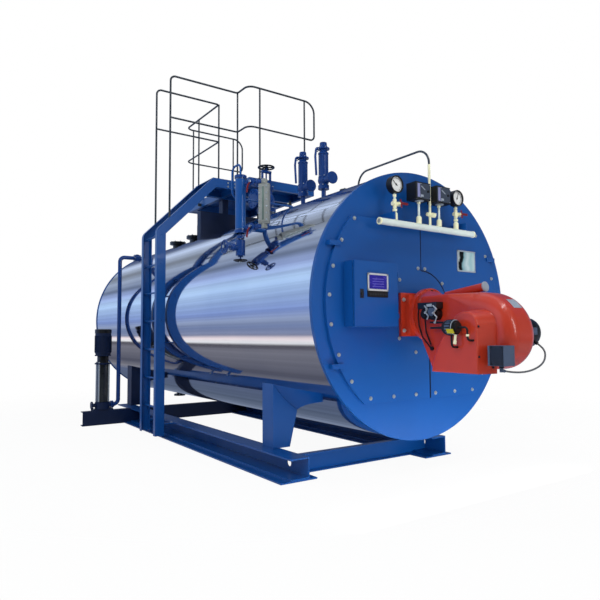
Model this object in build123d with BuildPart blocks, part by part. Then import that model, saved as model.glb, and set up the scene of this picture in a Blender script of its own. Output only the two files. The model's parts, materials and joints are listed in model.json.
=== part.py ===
from build123d import *
from math import cos, pi, radians, sin, sqrt, tan
import os

os.makedirs("parts", exist_ok=True)

# Horizontal fire-tube steam boiler on a steel skid, in millimetres.
# +Z is up, the boiler's axis runs along Y and the burner end faces -Y.
# The origin is under the middle of the front cross member, on the floor.

# Front plate and shell
cross_front_back = 658.0  # the front cross member's centre line lies this far behind the front plate
face_y = -cross_front_back
axis_z = 1334.0
plate_r = 1050.0
plate_t = 27.0
clad_r = 1043.0
clad_wall = 12.0
clad_length = 5396.0
seat_gap = 0.3  # clearance under a piece that sits on a curved face
root_depth = 20.0  # a nozzle starts this far inside the cladding before it is cut back to its seat
back_y = face_y + 2 * plate_t + clad_length

# Skid
beam_h = 174.0
beam_web_x = 765.0
beam_flange_w = 174.0
beam_web_t = 10.0
beam_flange_t = 12.0
base_t = 12.0
base_outside = 260.0
base_inside = 73.0
beam_front = 433.0
beam_rear = 4700.0
lift_hole_r = 32.0
lift_hole_from_end = 270.0
cross_h = 150.0
cross_w = 60.0
cross_t = 9.0
rear_cross_front = 4130.0
rear_cross_w = 100.0
rear_cross_reach = 1535.0

# Saddle legs
leg_outer_x = 830.0
leg_top_inner_x = 590.0
leg_foot_inner_x = 665.0
leg_w = 170.0
leg_front_back = 853.0
leg_rear_back = 4465.0

# Smoke box doors
door_r = 945.0
door_t = 25.0
door_up = 632.0
door_down = 730.0
seam = 6.0
seam_low_x = 80.0
burner_ring_r = 305.0
burner_ring_drop = 34.0
door_y = face_y - door_t
lug_l = 104.0
lug_h = 34.0
lug_t = 12.0
lug_heights = (1750.0, 882.0)
lug_block = 46.0

# Rear end
rear_cover_r = 560.0
rear_cover_t = 20.0
rear_cover_z = axis_z - 260.0
flue_r = 210.0
flue_wall = 6.0
flue_length = 220.0
flue_z = axis_z + 690.0
flue_flange_r = 270.0
flue_flange_t = 12.0
flue_pcd = 490.0
flue_bolts = 12
flue_bolt_r = 7.0

# Control cabinet
cab_w = 412.0
cab_h = 464.0
cab_body_d = 92.0
cab_wall = 3.0
cab_right_x = -368.0
cab_low_z = 1158.0
cab_door_t = 16.0
cab_door_gap = 5.0
cab_skin = 3.0
hinge_pin_r = 4.0
hinge_pin_gap = 0.3
hinge_knuckle_r = 8.0
hinge_knuckle_l = 30.0
hinge_off = 10.0
hinge_from_end = 80.0
hinge_leaf_l = 46.0
hinge_leaf_t = 3.0
screen_w = 196.0
screen_h = 170.0
screen_t = 5.0
screen_from_right = 100.0
screen_from_top = 84.0
lock_from_left = 66.0
lock_r = 13.0
lock_t = 9.0
gear_plate_t = 3.0
gear_margin = 26.0
gear_depth = 46.0

# Name plate
nameplate_x = 546.0
nameplate_z = 1715.0
nameplate_w = 230.0
nameplate_h = 180.0
nameplate_t = 3.0

# Burner
burner_z = 1254.0
flange_w = 500.0
flange_h = 330.0
flange_t = 25.0
neck_w = 400.0
neck_h = 290.0
neck_l = 40.0
head_r = 203.0
head_t = 35.0
throat_r = 188.0
throat_l = 115.0
throat_low_z = 1060.0
casing_near_x = 230.0
casing_far_x = 90.0
casing_top_z = 1385.0
casing_mid_z = 1087.0
casing_low_z = 867.0
casing_reach = 977.0
casing_round = 105.0
casing_edge_r = 28.0
casing_blend_l = 190.0
casing_heel_l = 95.0
scoop_depth = 150.0
scoop_low_z = 850.0
scoop_rear = 461.0
scoop_front = 838.0
scoop_crown_z = 1246.0
scoop_flare = 34.0
scoop_round = 12.0
scoop_waist = (0.218, 0.533)
scoop_shoulder = (0.557, 0.934)
scoop_crown = 0.76
scoop_corner = 0.78
scoop_foot_lean = 0.15
top_tube_r = 30.0
top_tube_x = 20.0
top_tube_lift = 4.0
top_tube_from = 300.0
top_tube_to = 645.0
top_tube_rise = 43.0
top_tube_cap_r = 33.0
top_tube_cap_l = 12.0
motor_r = 108.0
motor_l = 220.0
motor_flange_r = 122.0
motor_flange_t = 16.0
motor_cover_r = 100.0
motor_cover_l = 54.0
motor_back = 742.0
motor_z = 1110.0
motor_gland_x = 160.0
motor_gland_l = 34.0
motor_gland_tilt = 35.0
motor_gland_root = 10.0
term_gap = 5.0
term_w = 110.0
term_l = 115.0
term_h = 125.0
term_z = 905.0
term_back = 890.0
term_foot_in = 55.0
gland_r = 12.0
gland_l = 40.0
elbow_r = 10.0
elbow_drop = 29.0
elbow_l = 30.0
elbow_aim = (1.0, -0.03, -0.15)
cable_r = 6.0
cable_first_run = 59.0
cable_last_run = 44.0
cable_steps = (
    (148.0, -18.0, -14.0),
    (238.0, -28.0, -5.0),
    (322.0, -30.0, 17.0),
    (396.0, -16.0, 44.0),
    (454.0, 8.0, 74.0),
    (496.0, 34.0, 106.0),
)
puck_r = 49.0
puck_half_l = 55.0
puck_back = 686.0
puck_z = 1145.0
puck_clear = 6.0
puck_cap_share = 0.7
puck_body_share = 0.94
hose_r = 7.0
hose_bend = 24.0
rear_hose_reach = 187.0
front_hose_reach = 126.0
front_hose_drop = 83.0
low_hose_drop = 127.0
servo_back = 262.0
servo_l = 180.0
servo_low_z = 1282.0
servo_h = 46.0
servo_depth = 66.0
servo_drums = ((395.0, 42.0), (318.0, 38.0))
drum_cap_l = 12.0
drum_cap_share = 0.6
drum_bed = 4.0

# Gauge manifold
man_y = 130.0
man_z = 1925.0
man_r = 25.0
man_left = 535.0
man_right = 512.0
bracket_x = 400.0
bracket_t = 10.0
bracket_rise = 79.0
bracket_h = 34.0
stem_r = 9.0
gauge_r = 66.0
gauge_d = 42.0
gauge_ring = 5.0
gauge_stems = ((-376.0, 2211.0), (302.0, 2198.0))
switch_stems = ((-123.0, 2124.0), (103.0, 2124.0))
switch_w = 162.0
switch_d = 104.0
switch_h = 132.0
switch_round = 8.0
gauge_valve_rise = 120.0
gauge_valve_r = 16.0
gauge_valve_l = 48.0
gauge_valve_knob_r = 9.0
gauge_valve_knob_l = 40.0
lever_l = 78.0
lever_h = 16.0
lever_t = 6.0
lever_from = 18.0
siphon_r = 8.5
siphon_back = 715.0
siphon_top_z = 2562.0
siphon_bend = 120.0
siphon_boss_steps = ((24.0, 16.0), (16.0, 22.0))

# Water column and level gauge
col_x = 1030.0
col_back = 1045.0
col_r = 44.5
col_low_z = 1962.0
col_high_z = 2460.0
glass_x = 900.0
glass_back = 870.0
glass_low_z = 2032.0
glass_high_z = 2368.0
glass_w = 92.0
glass_d = 44.0
arm_r = 17.0
arm_low_z = 2010.0
arm_high_z = 2390.0
cock_r = 30.0
plug_r = 11.0
plug_l = 22.0
cock_handle_r = 5.0
cock_handle_bend = 30.0
cock_handle_knee = (24.0, 34.0)
cock_handle_end = (30.0, 92.0)
glass_round = 6.0
glass_head_r = 18.0
glass_head_l = 44.0
column_pipe_r = 21.0
column_pipe_bend = 60.0
low_link_in = 40.0
top_link_rise = 20.0
top_link_x = 770.0
loop_r = 9.0
loop_bend = 52.0
loop_rise = 104.0
loop_back = 150.0
loop_drop = 110.0
wheel_r = 60.0
wheel_rim_r = 7.0
wheel_hub_r = 16.0
wheel_hub_l = 16.0
wheel_spoke_r = 4.5
wheel_bore_gap = 0.2
spindle_r = 7.0
drain_z = 1838.0
drain_body_r = 40.0
drain_wheel_reach = 150.0
drain_wheel_drop = 105.0
drain_neck_steps = ((16.0, 22.0), (34.0, 24.0), (17.0, 12.0))
drain_cap_r = 22.0
drain_cap_l = 12.0
side_gland_r = 26.0
side_gland_l = 100.0

# Valves on top
steam_back = 2325.0
steam_neck_r = 57.0
steam_flange_r = 110.0
steam_flange_t = 22.0
steam_pcd = 180.0
steam_bolts = 8
steam_bolt_r = 9.0
steam_body_rise = 263.0
steam_body_r = 98.0
steam_reach = 175.0
steam_bonnet_rise = 150.0
steam_wheel_rise = 385.0
bonnet_r = 70.0
bonnet_flange_r = 88.0
bonnet_flange_t = 36.0
gland_cup_r = 34.0
gland_cup_l = 40.0
yoke_half = 52.0
yoke_t = 16.0
yoke_drop = 40.0
steam_spindle_r = 9.0
spindle_over = 30.0
steam_wheel_r = 98.0
steam_wheel_rim_r = 9.0
steam_hub_r = 22.0
steam_hub_l = 24.0
steam_spoke_r = 8.0
safety_backs = (1237.0, 1590.0)
safety_neck_r = 22.0
safety_flange_rise = 193.0
safety_h = 428.0
safety_foot_drop = 40.0
safety_foot_r = 54.0
safety_foot_t = 36.0
safety_stem_r = 44.0
safety_stem_l = 60.0
safety_collar_t = 20.0
safety_cap_r = 62.0
safety_cap_t = 12.0
safety_lever_r = 11.0
safety_lever_bend = 26.0
safety_outlet_rise = 48.0
safety_outlet_flange_t = 18.0
safety_body_r = 36.0
safety_bowl_r = 56.0
safety_outlet_r = 34.0
safety_outlet_reach = 150.0
safety_outlet_flange_r = 58.0
blank_backs = (3839.0, 4424.0)
blank_x = 200.0
blank_r = 112.0
blank_t = 18.0
blank_neck_r = 70.0
blank_neck_l = 60.0
vent_back = 905.0
vent_r = 52.0
vent_t = 14.0
vent_neck_r = 30.0
vent_neck_l = 70.0
cock_x = 300.0
cock_back = 1385.0
cock_neck_r = 11.0
cock_neck_l = 44.0
cock_body_r = 17.0
cock_body_l = 26.0
cock_top_r = 8.0
cock_top_l = 24.0
blowdown_back = 4800.0
blowdown_r = 40.0
blowdown_flange_r = 82.0
blowdown_flange_t = 18.0
blowdown_z = 226.0

# Ladder and platform
ladder_front = 2688.0
ladder_w = 486.0
rail_w = 100.0
rail_d = 57.0
rail_t = 6.0
rail_gap = 9.0
rail_foot_z = 45.0
deck_z = 2914.0
deck_t = 5.0
landing_l = 334.0
knee_round = 105.0
rung_r = 10.5
rung_first_z = 336.0
rung_step = 310.0
rung_count = 7
slope_rung_shares = (0.29, 0.71)
clip_t = 12.0
clip_w = 50.0
deck_left_x = 158.0
deck_right_x = 759.0
deck_front = 2438.0
deck_back = 4167.0
frame_h = 95.0
frame_w = 46.0
frame_t = 6.0
joist_back = 2906.0
joist_w = 50.0
support_backs = (3190.0, 3985.0)
support_t = 100.0
support_left_xs = (415.0, 60.0)
support_right_x = 560.0
support_top_z = 2634.0
support_post = 80.0
hand_r = 11.0
post_r = 10.0
hand_rise = 1084.0
mid_rise = 607.0
hand_start_x = 1003.0
hand_inset = 16.0
front_jog_x = 162.0
front_end_x = 778.0
front_last_x = 630.0
rear_jog_x = 196.0
rear_end_x = 690.0
rear_last_x = 538.0
hand_bends = [60.0, 35.0, 90.0, 140.0, 60.0]
mid_bends = [35.0, 90.0]
front_post_in = 150.0
rear_post_in = 65.0
side_post_back = 3740.0
side_clip_h = 40.0

# Feed pump and pipe
pump_x = 1290.0
pump_base_w = 250.0
pump_base_t = 22.0
pump_foot_r = 88.0
pump_foot_h = 84.0
pump_barrel_r = 70.0
pump_barrel_top_z = 751.0
pump_flange_r = 98.0
pump_flange_t = 16.0
tie_rod_r = 8.0
tie_rod_ring = 84.0
tie_rod_over = 4.0
tie_rod_count = 4
pump_neck_r = 66.0
pump_motor_low_z = 871.0
pump_motor_top_z = 1192.0
pump_motor_r = 97.0
pump_motor_foot = (89.0, 14.0)
pump_motor_cover = (91.0, 46.0)
suction_r = 24.0
suction_reach = 120.0
suction_flange_r = 48.0
suction_flange_t = 16.0
pump_port_z = 242.0
feed_r = 25.0
feed_x = 1093.0
feed_z = 2127.0
feed_bend = 60.0
check_x = 905.0
check_steps = ((46.0, 14.0), (40.0, 46.0), (46.0, 14.0))


def behind(distance):
    """Y of a point that lies this far behind the front plate's outer face."""
    return face_y + distance


def clad_top(x):
    """Height of the cladding's upper surface at x from the boiler's axis."""
    return axis_z + sqrt(clad_r**2 - x**2)


def clad_bottom(x):
    """Height of the cladding's lower surface at x from the boiler's axis."""
    return axis_z - sqrt(clad_r**2 - x**2)


def clad_side(z):
    """Distance from the axis to the cladding's side surface at height z."""
    return sqrt(clad_r**2 - (z - axis_z) ** 2)


def seat_cutter():
    """The space that the shell and its seat clearance take, along its whole length."""
    with BuildPart() as cutter:
        with BuildSketch(Plane.XZ.offset(-face_y)):
            with Locations((0, axis_z)):
                Circle(clad_r + seat_gap)
        extrude(amount=-(back_y - face_y))
    return cutter.part


def round_bar(points, radius, bend):
    """Round bar along straight runs that are joined by bends of one radius."""
    with BuildPart() as bar:
        with BuildLine() as route:
            if len(points) > 2:
                FilletPolyline(*points, radius=bend)
            else:
                Line(*points)
        start = route.line @ 0
        with BuildSketch(Plane(origin=start, z_dir=route.line % 0)):
            Circle(radius)
        sweep(path=route.line)
    return bar.part


def turned(origin, direction, steps):
    """Coaxial discs stacked along a direction: each step is a radius and a length."""
    with BuildPart() as stack:
        place = Plane(origin=origin, z_dir=direction)
        for radius, length in steps:
            with BuildSketch(place):
                Circle(radius)
            extrude(amount=length)
            place = place.offset(length)
    return stack.part


def block(low, high):
    """Rectangular block between two opposite corners."""
    with BuildPart() as brick:
        with BuildSketch(Plane.XY.offset(low[2])):
            with Locations(((low[0] + high[0]) / 2, (low[1] + high[1]) / 2)):
                Rectangle(high[0] - low[0], high[1] - low[1])
        extrude(amount=high[2] - low[2])
    return brick.part


def flanged_end(origin, direction, radius, thickness, pcd, count, hole_r):
    """Round flange with its ring of bolt holes."""
    with BuildPart() as flange:
        with BuildSketch(Plane(origin=origin, z_dir=direction)):
            Circle(radius)
            with PolarLocations(pcd / 2, count, start_angle=180 / count):
                Circle(hole_r, mode=Mode.SUBTRACT)
        extrude(amount=thickness)
    return flange.part


def handwheel(origin, direction, radius, rim_r, hub_r, hub_l, spoke_r, bore_r):
    """Five-spoked handwheel about its spindle, centred on the origin given."""
    spokes = 5
    with BuildPart() as wheel:
        disc = Plane(origin=origin, z_dir=direction)
        ring = Plane(origin=disc.origin + disc.x_dir * (radius - rim_r), z_dir=disc.y_dir)
        with BuildSketch(ring):
            Circle(rim_r)
        revolve(axis=Axis(disc.origin, disc.z_dir))
        with BuildSketch(disc.offset(-hub_l / 2)):
            Circle(hub_r)
        extrude(amount=hub_l)
        for turn in range(spokes):
            angle = radians(360 * (turn + 0.5) / spokes)
            out = disc.x_dir * cos(angle) + disc.y_dir * sin(angle)
            with BuildSketch(Plane(origin=disc.origin + out * (bore_r + 1), z_dir=out)):
                Circle(spoke_r)
            extrude(amount=radius - rim_r - bore_r - 1)
        with BuildSketch(disc.offset(-hub_l)):
            Circle(bore_r)
        extrude(amount=2 * hub_l, mode=Mode.SUBTRACT)
    return wheel.part


shell_space = seat_cutter()


def save(solid, name):
    """Label a finished piece and write its STEP file."""
    solid.label = name
    export_step(solid, f"parts/{name}.step")


# Skid beams: a channel open to -X on a wide base plate
def skid_beam(web_x):
    """Longitudinal channel with its web's right face at web_x."""
    length = beam_rear - beam_front
    with BuildPart() as beam:
        with BuildSketch(Plane.XZ.offset(-behind(beam_front))):
            with Locations((web_x - base_outside, 0)):
                Rectangle(base_outside + base_inside, base_t, align=(Align.MIN, Align.MIN))
            with Locations((web_x - beam_web_t, base_t)):
                Rectangle(beam_web_t, beam_h - base_t, align=(Align.MIN, Align.MIN))
            for low in (base_t, beam_h - beam_flange_t):
                with Locations((web_x - beam_flange_w, low)):
                    Rectangle(beam_flange_w, beam_flange_t, align=(Align.MIN, Align.MIN))
        extrude(amount=-length)
        ends = (beam_front + lift_hole_from_end, beam_rear - lift_hole_from_end)
        for along in ends:
            hole = Plane(origin=(web_x, behind(along), beam_h / 2), z_dir=(-1, 0, 0))
            with BuildSketch(hole):
                Circle(lift_hole_r)
            extrude(amount=beam_web_t, mode=Mode.SUBTRACT)
    return beam.part


beam_left = skid_beam(-beam_web_x)
beam_right = skid_beam(beam_web_x)
save(beam_left, "skid_beam_left")
save(beam_right, "skid_beam_right")


# Cross members: channels coped round the two beams
with BuildPart() as cross_front:
    with BuildSketch(Plane.YZ.offset(-beam_web_x)):
        with Locations((0, cross_h / 2)):
            Rectangle(cross_w, cross_h)
        with Locations((-cross_t / 2, cross_h / 2)):
            Rectangle(cross_w - cross_t, cross_h - 2 * cross_t, mode=Mode.SUBTRACT)
    extrude(amount=2 * beam_web_x - beam_web_t)
    add(beam_left, mode=Mode.SUBTRACT)
    add(beam_right, mode=Mode.SUBTRACT)
save(cross_front.part, "cross_member_front")

with BuildPart() as cross_rear:
    with BuildSketch(Plane.YZ.offset(-rear_cross_reach)):
        with Locations((behind(rear_cross_front) + rear_cross_w / 2, beam_h / 2)):
            Rectangle(rear_cross_w, beam_h)
        with Locations((behind(rear_cross_front) + (rear_cross_w + cross_t) / 2, beam_h / 2)):
            Rectangle(rear_cross_w - cross_t, beam_h - 2 * cross_t, mode=Mode.SUBTRACT)
    extrude(amount=rear_cross_reach + beam_web_x - beam_web_t)
    add(beam_left, mode=Mode.SUBTRACT)
    add(beam_right, mode=Mode.SUBTRACT)
save(cross_rear.part, "cross_member_rear")


# Saddle legs between the beams and the shell
def saddle(start):
    """Pair of legs whose tops follow the shell."""
    with BuildPart() as legs:
        with BuildSketch(Plane.XZ.offset(-behind(start))):
            with BuildLine():
                Polyline(
                    (-leg_outer_x, beam_h),
                    (-leg_outer_x, clad_bottom(leg_outer_x) + seat_gap),
                    (-leg_top_inner_x, clad_bottom(leg_outer_x) + seat_gap),
                    (-leg_top_inner_x, clad_bottom(leg_top_inner_x)),
                    (-leg_foot_inner_x, beam_h),
                    close=True,
                )
            make_face()
            mirror(about=Plane.YZ)
        extrude(amount=-leg_w)
        add(shell_space, mode=Mode.SUBTRACT)
    return legs.part


save(saddle(leg_front_back), "saddle_front")
save(saddle(leg_rear_back), "saddle_rear")


# Shell cladding and end plates
with BuildPart() as cladding:
    with BuildSketch(Plane.XZ.offset(-(face_y + plate_t))):
        with Locations((0, axis_z)):
            Circle(clad_r)
            Circle(clad_r - clad_wall, mode=Mode.SUBTRACT)
    extrude(amount=-clad_length)
save(cladding.part, "shell_cladding")

with BuildPart() as front_plate:
    with BuildSketch(Plane.XZ.offset(-face_y)):
        with Locations((0, axis_z)):
            Circle(plate_r)
    extrude(amount=-plate_t)
save(front_plate.part, "front_plate")

with BuildPart() as rear_plate:
    with BuildSketch(Plane.XZ.offset(-(back_y - plate_t))):
        with Locations((0, axis_z)):
            Circle(plate_r)
    extrude(amount=-plate_t)
save(rear_plate.part, "rear_plate")

with BuildPart() as rear_cover:
    with BuildSketch(Plane.XZ.offset(-back_y)):
        with Locations((0, rear_cover_z)):
            Circle(rear_cover_r)
    extrude(amount=-rear_cover_t)
save(rear_cover.part, "rear_cover")

flue_flange = flanged_end(
    (0, back_y + flue_length - flue_flange_t, flue_z),
    (0, 1, 0),
    flue_flange_r,
    flue_flange_t,
    flue_pcd,
    flue_bolts,
    flue_bolt_r,
)
with BuildPart() as flue:
    with BuildSketch(Plane.XZ.offset(-back_y)):
        with Locations((0, flue_z)):
            Circle(flue_r)
    extrude(amount=-flue_length)
    add(flue_flange)
    with BuildSketch(Plane.XZ.offset(-back_y)):
        with Locations((0, flue_z)):
            Circle(flue_r - flue_wall)
    extrude(amount=-flue_length, mode=Mode.SUBTRACT)
save(flue.part, "flue_outlet")


# Smoke box doors: a round plate with flat top and bottom, split by one seam
def door_leaf(side):
    """Left leaf with the burner's round seat, or right leaf cut away round it."""
    ring_z = axis_z - burner_ring_drop
    gap = seam / 2
    with BuildPart() as leaf:
        with BuildSketch(Plane.XZ.offset(-face_y)):
            with Locations((0, axis_z)):
                Circle(door_r)
            with Locations((0, axis_z + (door_up - door_down) / 2)):
                Rectangle(2 * plate_r, door_up + door_down, mode=Mode.INTERSECT)
            reach = plate_r + seam_low_x
            if side < 0:
                with Locations((gap * side, ring_z)):
                    Rectangle(reach, plate_r, align=(Align.MIN, Align.MIN), mode=Mode.SUBTRACT)
                with Locations((seam_low_x + gap * side, ring_z)):
                    Rectangle(reach, plate_r, align=(Align.MIN, Align.MAX), mode=Mode.SUBTRACT)
                with Locations((0, ring_z)):
                    Circle(burner_ring_r - gap)
            else:
                with Locations((gap * side, ring_z)):
                    Rectangle(reach, plate_r, align=(Align.MAX, Align.MIN), mode=Mode.SUBTRACT)
                with Locations((seam_low_x + gap * side, ring_z)):
                    Rectangle(reach, plate_r, align=(Align.MAX, Align.MAX), mode=Mode.SUBTRACT)
                with Locations((0, ring_z)):
                    Circle(burner_ring_r + gap, mode=Mode.SUBTRACT)
        extrude(amount=door_t)
    return leaf.part


save(door_leaf(-1), "smoke_door_left")
save(door_leaf(1), "smoke_door_right")

# Hinge lugs: a strap on the leaf and a block on the plate's rim
lugs = []
for side in (-1, 1):
    for lug_z in lug_heights:
        rim_x = sqrt(door_r**2 - (lug_z - lug_h - axis_z) ** 2)
        if lug_z < axis_z:
            rim_x = sqrt(door_r**2 - (lug_z + lug_h - axis_z) ** 2)
        strap_in = side * (rim_x - lug_l / 2)
        strap_out = side * (rim_x + lug_l / 2)
        low_x, high_x = min(strap_in, strap_out), max(strap_in, strap_out)
        strap = block(
            (low_x, door_y - lug_t, lug_z - lug_h / 2), (high_x, door_y, lug_z + lug_h / 2)
        )
        block_in = side * (rim_x + lug_l / 2 - lug_block)
        foot_low, foot_high = min(block_in, strap_out), max(block_in, strap_out)
        foot = block((foot_low, door_y, lug_z - lug_h / 2), (foot_high, face_y, lug_z + lug_h / 2))
        with BuildPart() as lug:
            add(strap)
            add(foot)
        lugs.append(lug.part)
with BuildPart() as door_lugs:
    add(lugs)
save(door_lugs.part, "door_lugs")


# Control cabinet on the left leaf
cab_left_x = cab_right_x - cab_w
cab_high_z = cab_low_z + cab_h
cab_front_y = door_y - cab_body_d
cab_door_y = cab_front_y - cab_door_gap
with BuildPart() as cabinet:
    with BuildSketch(Plane.XZ.offset(-door_y)):
        with Locations((cab_left_x, cab_low_z)):
            Rectangle(cab_w, cab_h, align=(Align.MIN, Align.MIN))
    extrude(amount=cab_body_d)
    offset(amount=-cab_wall, openings=cabinet.faces().sort_by(Axis.Y)[0])
save(cabinet.part, "cabinet_box")

hinge_x = cab_right_x + hinge_off
hinge_y = cab_door_y - cab_door_t / 2
hinge_heights = (cab_low_z + hinge_from_end, cab_high_z - hinge_from_end)
with BuildPart() as cabinet_door:
    with BuildSketch(Plane.XZ.offset(-cab_door_y)):
        with Locations((cab_left_x, cab_low_z)):
            Rectangle(cab_w, cab_h, align=(Align.MIN, Align.MIN))
    extrude(amount=cab_door_t)
    with BuildSketch(Plane.XZ.offset(-cab_door_y)):
        with Locations((cab_left_x + cab_skin, cab_low_z + cab_skin)):
            Rectangle(cab_w - 2 * cab_skin, cab_h - 2 * cab_skin, align=(Align.MIN, Align.MIN))
    extrude(amount=cab_door_t - cab_skin, mode=Mode.SUBTRACT)
    for height in hinge_heights:
        with BuildSketch(Plane.XY.offset(height - hinge_knuckle_l / 2)):
            with Locations((hinge_x, hinge_y)):
                Circle(hinge_knuckle_r)
            with Locations(((cab_right_x + hinge_x) / 2, hinge_y)):
                Rectangle(hinge_off, cab_skin)
            with Locations((hinge_x, hinge_y)):
                Circle(hinge_pin_r + hinge_pin_gap, mode=Mode.SUBTRACT)
        extrude(amount=hinge_knuckle_l)
save(cabinet_door.part, "cabinet_door")

hinges = []
for height in hinge_heights:
    half = hinge_knuckle_l / 2 + hinge_leaf_t
    low_z, high_z = height - half, height + half
    leaf = block(
        (cab_right_x, cab_front_y + hinge_leaf_t, low_z - hinge_leaf_t),
        (cab_right_x + hinge_leaf_t, cab_front_y + hinge_leaf_l, high_z + hinge_leaf_t),
    )
    pin_l = 2 * half + 2 * hinge_leaf_t
    pin = turned((hinge_x, hinge_y, low_z - hinge_leaf_t), (0, 0, 1), ((hinge_pin_r, pin_l),))
    arms = [
        block(
            (cab_right_x + hinge_leaf_t / 2, hinge_y - hinge_pin_r, level),
            (hinge_x + hinge_pin_r, cab_front_y + hinge_leaf_l, level + hinge_leaf_t),
        )
        for level in (low_z - hinge_leaf_t, high_z)
    ]
    with BuildPart() as hinge:
        add(leaf)
        add(arms)
        add(pin)
    hinges.append(hinge.part)
with BuildPart() as cabinet_hinges:
    add(hinges)
save(cabinet_hinges.part, "cabinet_hinges")

screen_face_y = cab_door_y - cab_door_t
screen_x = cab_right_x - screen_from_right - screen_w / 2
screen_z = cab_high_z - screen_from_top - screen_h / 2
with BuildPart() as screen:
    with BuildSketch(Plane.XZ.offset(-screen_face_y)):
        with Locations((screen_x, screen_z)):
            Rectangle(screen_w, screen_h)
    extrude(amount=screen_t)
    chamfer(screen.faces().sort_by(Axis.Y)[0].edges(), screen_t / 2)
save(screen.part, "cabinet_screen")

lock_z = cab_low_z + cab_h / 2
lock = turned(
    (cab_left_x + lock_from_left, screen_face_y, lock_z), (0, -1, 0), ((lock_r, lock_t),)
)
save(lock, "cabinet_lock")

gear_back = door_y - cab_wall
with BuildPart() as cabinet_gear:
    with BuildSketch(Plane.XZ.offset(-gear_back)):
        with Locations((cab_left_x + cab_w / 2, cab_low_z + cab_h / 2)):
            Rectangle(cab_w - 2 * gear_margin, cab_h - 2 * gear_margin)
    extrude(amount=gear_plate_t)
    with BuildSketch(Plane.XZ.offset(-(gear_back - gear_plate_t))):
        with Locations((cab_left_x + cab_w / 2, cab_low_z + cab_h / 2)):
            with GridLocations(0, cab_h / 3, 1, 2):
                Rectangle(cab_w - 4 * gear_margin, cab_h / 5)
    extrude(amount=gear_depth)
save(cabinet_gear.part, "cabinet_gear")

with BuildPart() as nameplate:
    with BuildSketch(Plane.XZ.offset(-door_y)):
        with Locations((nameplate_x, nameplate_z)):
            Rectangle(nameplate_w, nameplate_h)
    extrude(amount=nameplate_t)
save(nameplate.part, "nameplate")


# Burner: flange and neck, round head, scroll casing and air intake
head_y = door_y - flange_t - neck_l
throat_y = head_y - head_t
casing_y = throat_y - throat_l
casing_front_y = behind(-casing_reach)
upper_r = casing_top_z - casing_mid_z
lower_r = casing_mid_z - casing_low_z
upper_y = casing_front_y + upper_r
lower_y = casing_front_y + lower_r
blend_y = upper_y + casing_blend_l
casing_w = casing_near_x + casing_far_x
casing_mid_x = (casing_far_x - casing_near_x) / 2
with BuildPart() as burner_flange:
    with BuildSketch(Plane.XZ.offset(-door_y)):
        with Locations((0, burner_z)):
            Rectangle(flange_w, flange_h)
    extrude(amount=flange_t)
    with BuildSketch(Plane.XZ.offset(-(door_y - flange_t))):
        with Locations((0, burner_z)):
            Rectangle(neck_w, neck_h)
    extrude(amount=neck_l)
save(burner_flange.part, "burner_flange")

with BuildPart() as burner_head:
    with BuildSketch(Plane.XZ.offset(-head_y)):
        with Locations((0, burner_z)):
            Circle(head_r)
    extrude(amount=head_t)
    with BuildSketch(Plane.XZ.offset(-throat_y)):
        with Locations((0, burner_z)):
            RectangleRounded(2 * throat_r, 2 * throat_r, throat_r - 1)
    with BuildSketch(Plane.XZ.offset(-casing_y)):
        with Locations((casing_mid_x, (casing_top_z + throat_low_z) / 2)):
            RectangleRounded(casing_w, casing_top_z - throat_low_z, casing_edge_r)
    loft()
save(burner_head.part, "burner_head")


def casing_section(y, corner_r):
    """Upright section of the casing at y, its two upper corners rounded."""
    with BuildSketch(Plane.XZ.offset(-y)) as section:
        with Locations((casing_mid_x, casing_low_z)):
            Rectangle(casing_w, casing_top_z - casing_low_z, align=(Align.CENTER, Align.MIN))
        fillet(section.vertices().group_by(Axis.Y)[-1], corner_r)
    return section.sketch


with BuildPart() as casing_box:
    add(casing_section(casing_y, casing_edge_r))
    extrude(amount=casing_y - blend_y, dir=(0, -1, 0))
    with BuildSketch(Plane.YZ.offset(-casing_near_x)):
        with BuildLine():
            Polyline(
                (casing_y, throat_low_z),
                (casing_y, casing_low_z),
                (casing_y - casing_heel_l, casing_low_z),
                close=True,
            )
        make_face()
    extrude(amount=casing_w, mode=Mode.SUBTRACT)
with BuildPart() as casing_blend:
    add(casing_section(blend_y, casing_edge_r))
    add(casing_section(upper_y, casing_round))
    loft()
diagonal = sin(radians(45))
with BuildPart() as casing_dome:
    with BuildSketch(Plane.YZ.offset(-casing_near_x)):
        with BuildLine():
            Polyline((upper_y, casing_top_z), (upper_y, casing_low_z), (lower_y, casing_low_z))
            ThreePointArc(
                (lower_y, casing_low_z),
                (lower_y - lower_r * diagonal, casing_mid_z - lower_r * diagonal),
                (casing_front_y, casing_mid_z),
            )
            ThreePointArc(
                (casing_front_y, casing_mid_z),
                (upper_y - upper_r * diagonal, casing_mid_z + upper_r * diagonal),
                (upper_y, casing_top_z),
            )
        make_face()
    extrude(amount=casing_w)
    fillet(casing_dome.edges().filter_by(GeomType.CIRCLE), casing_round)
with BuildPart() as burner_casing:
    add(casing_box)
    add(casing_blend)
    add(casing_dome)
save(burner_casing.part, "burner_casing")


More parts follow.
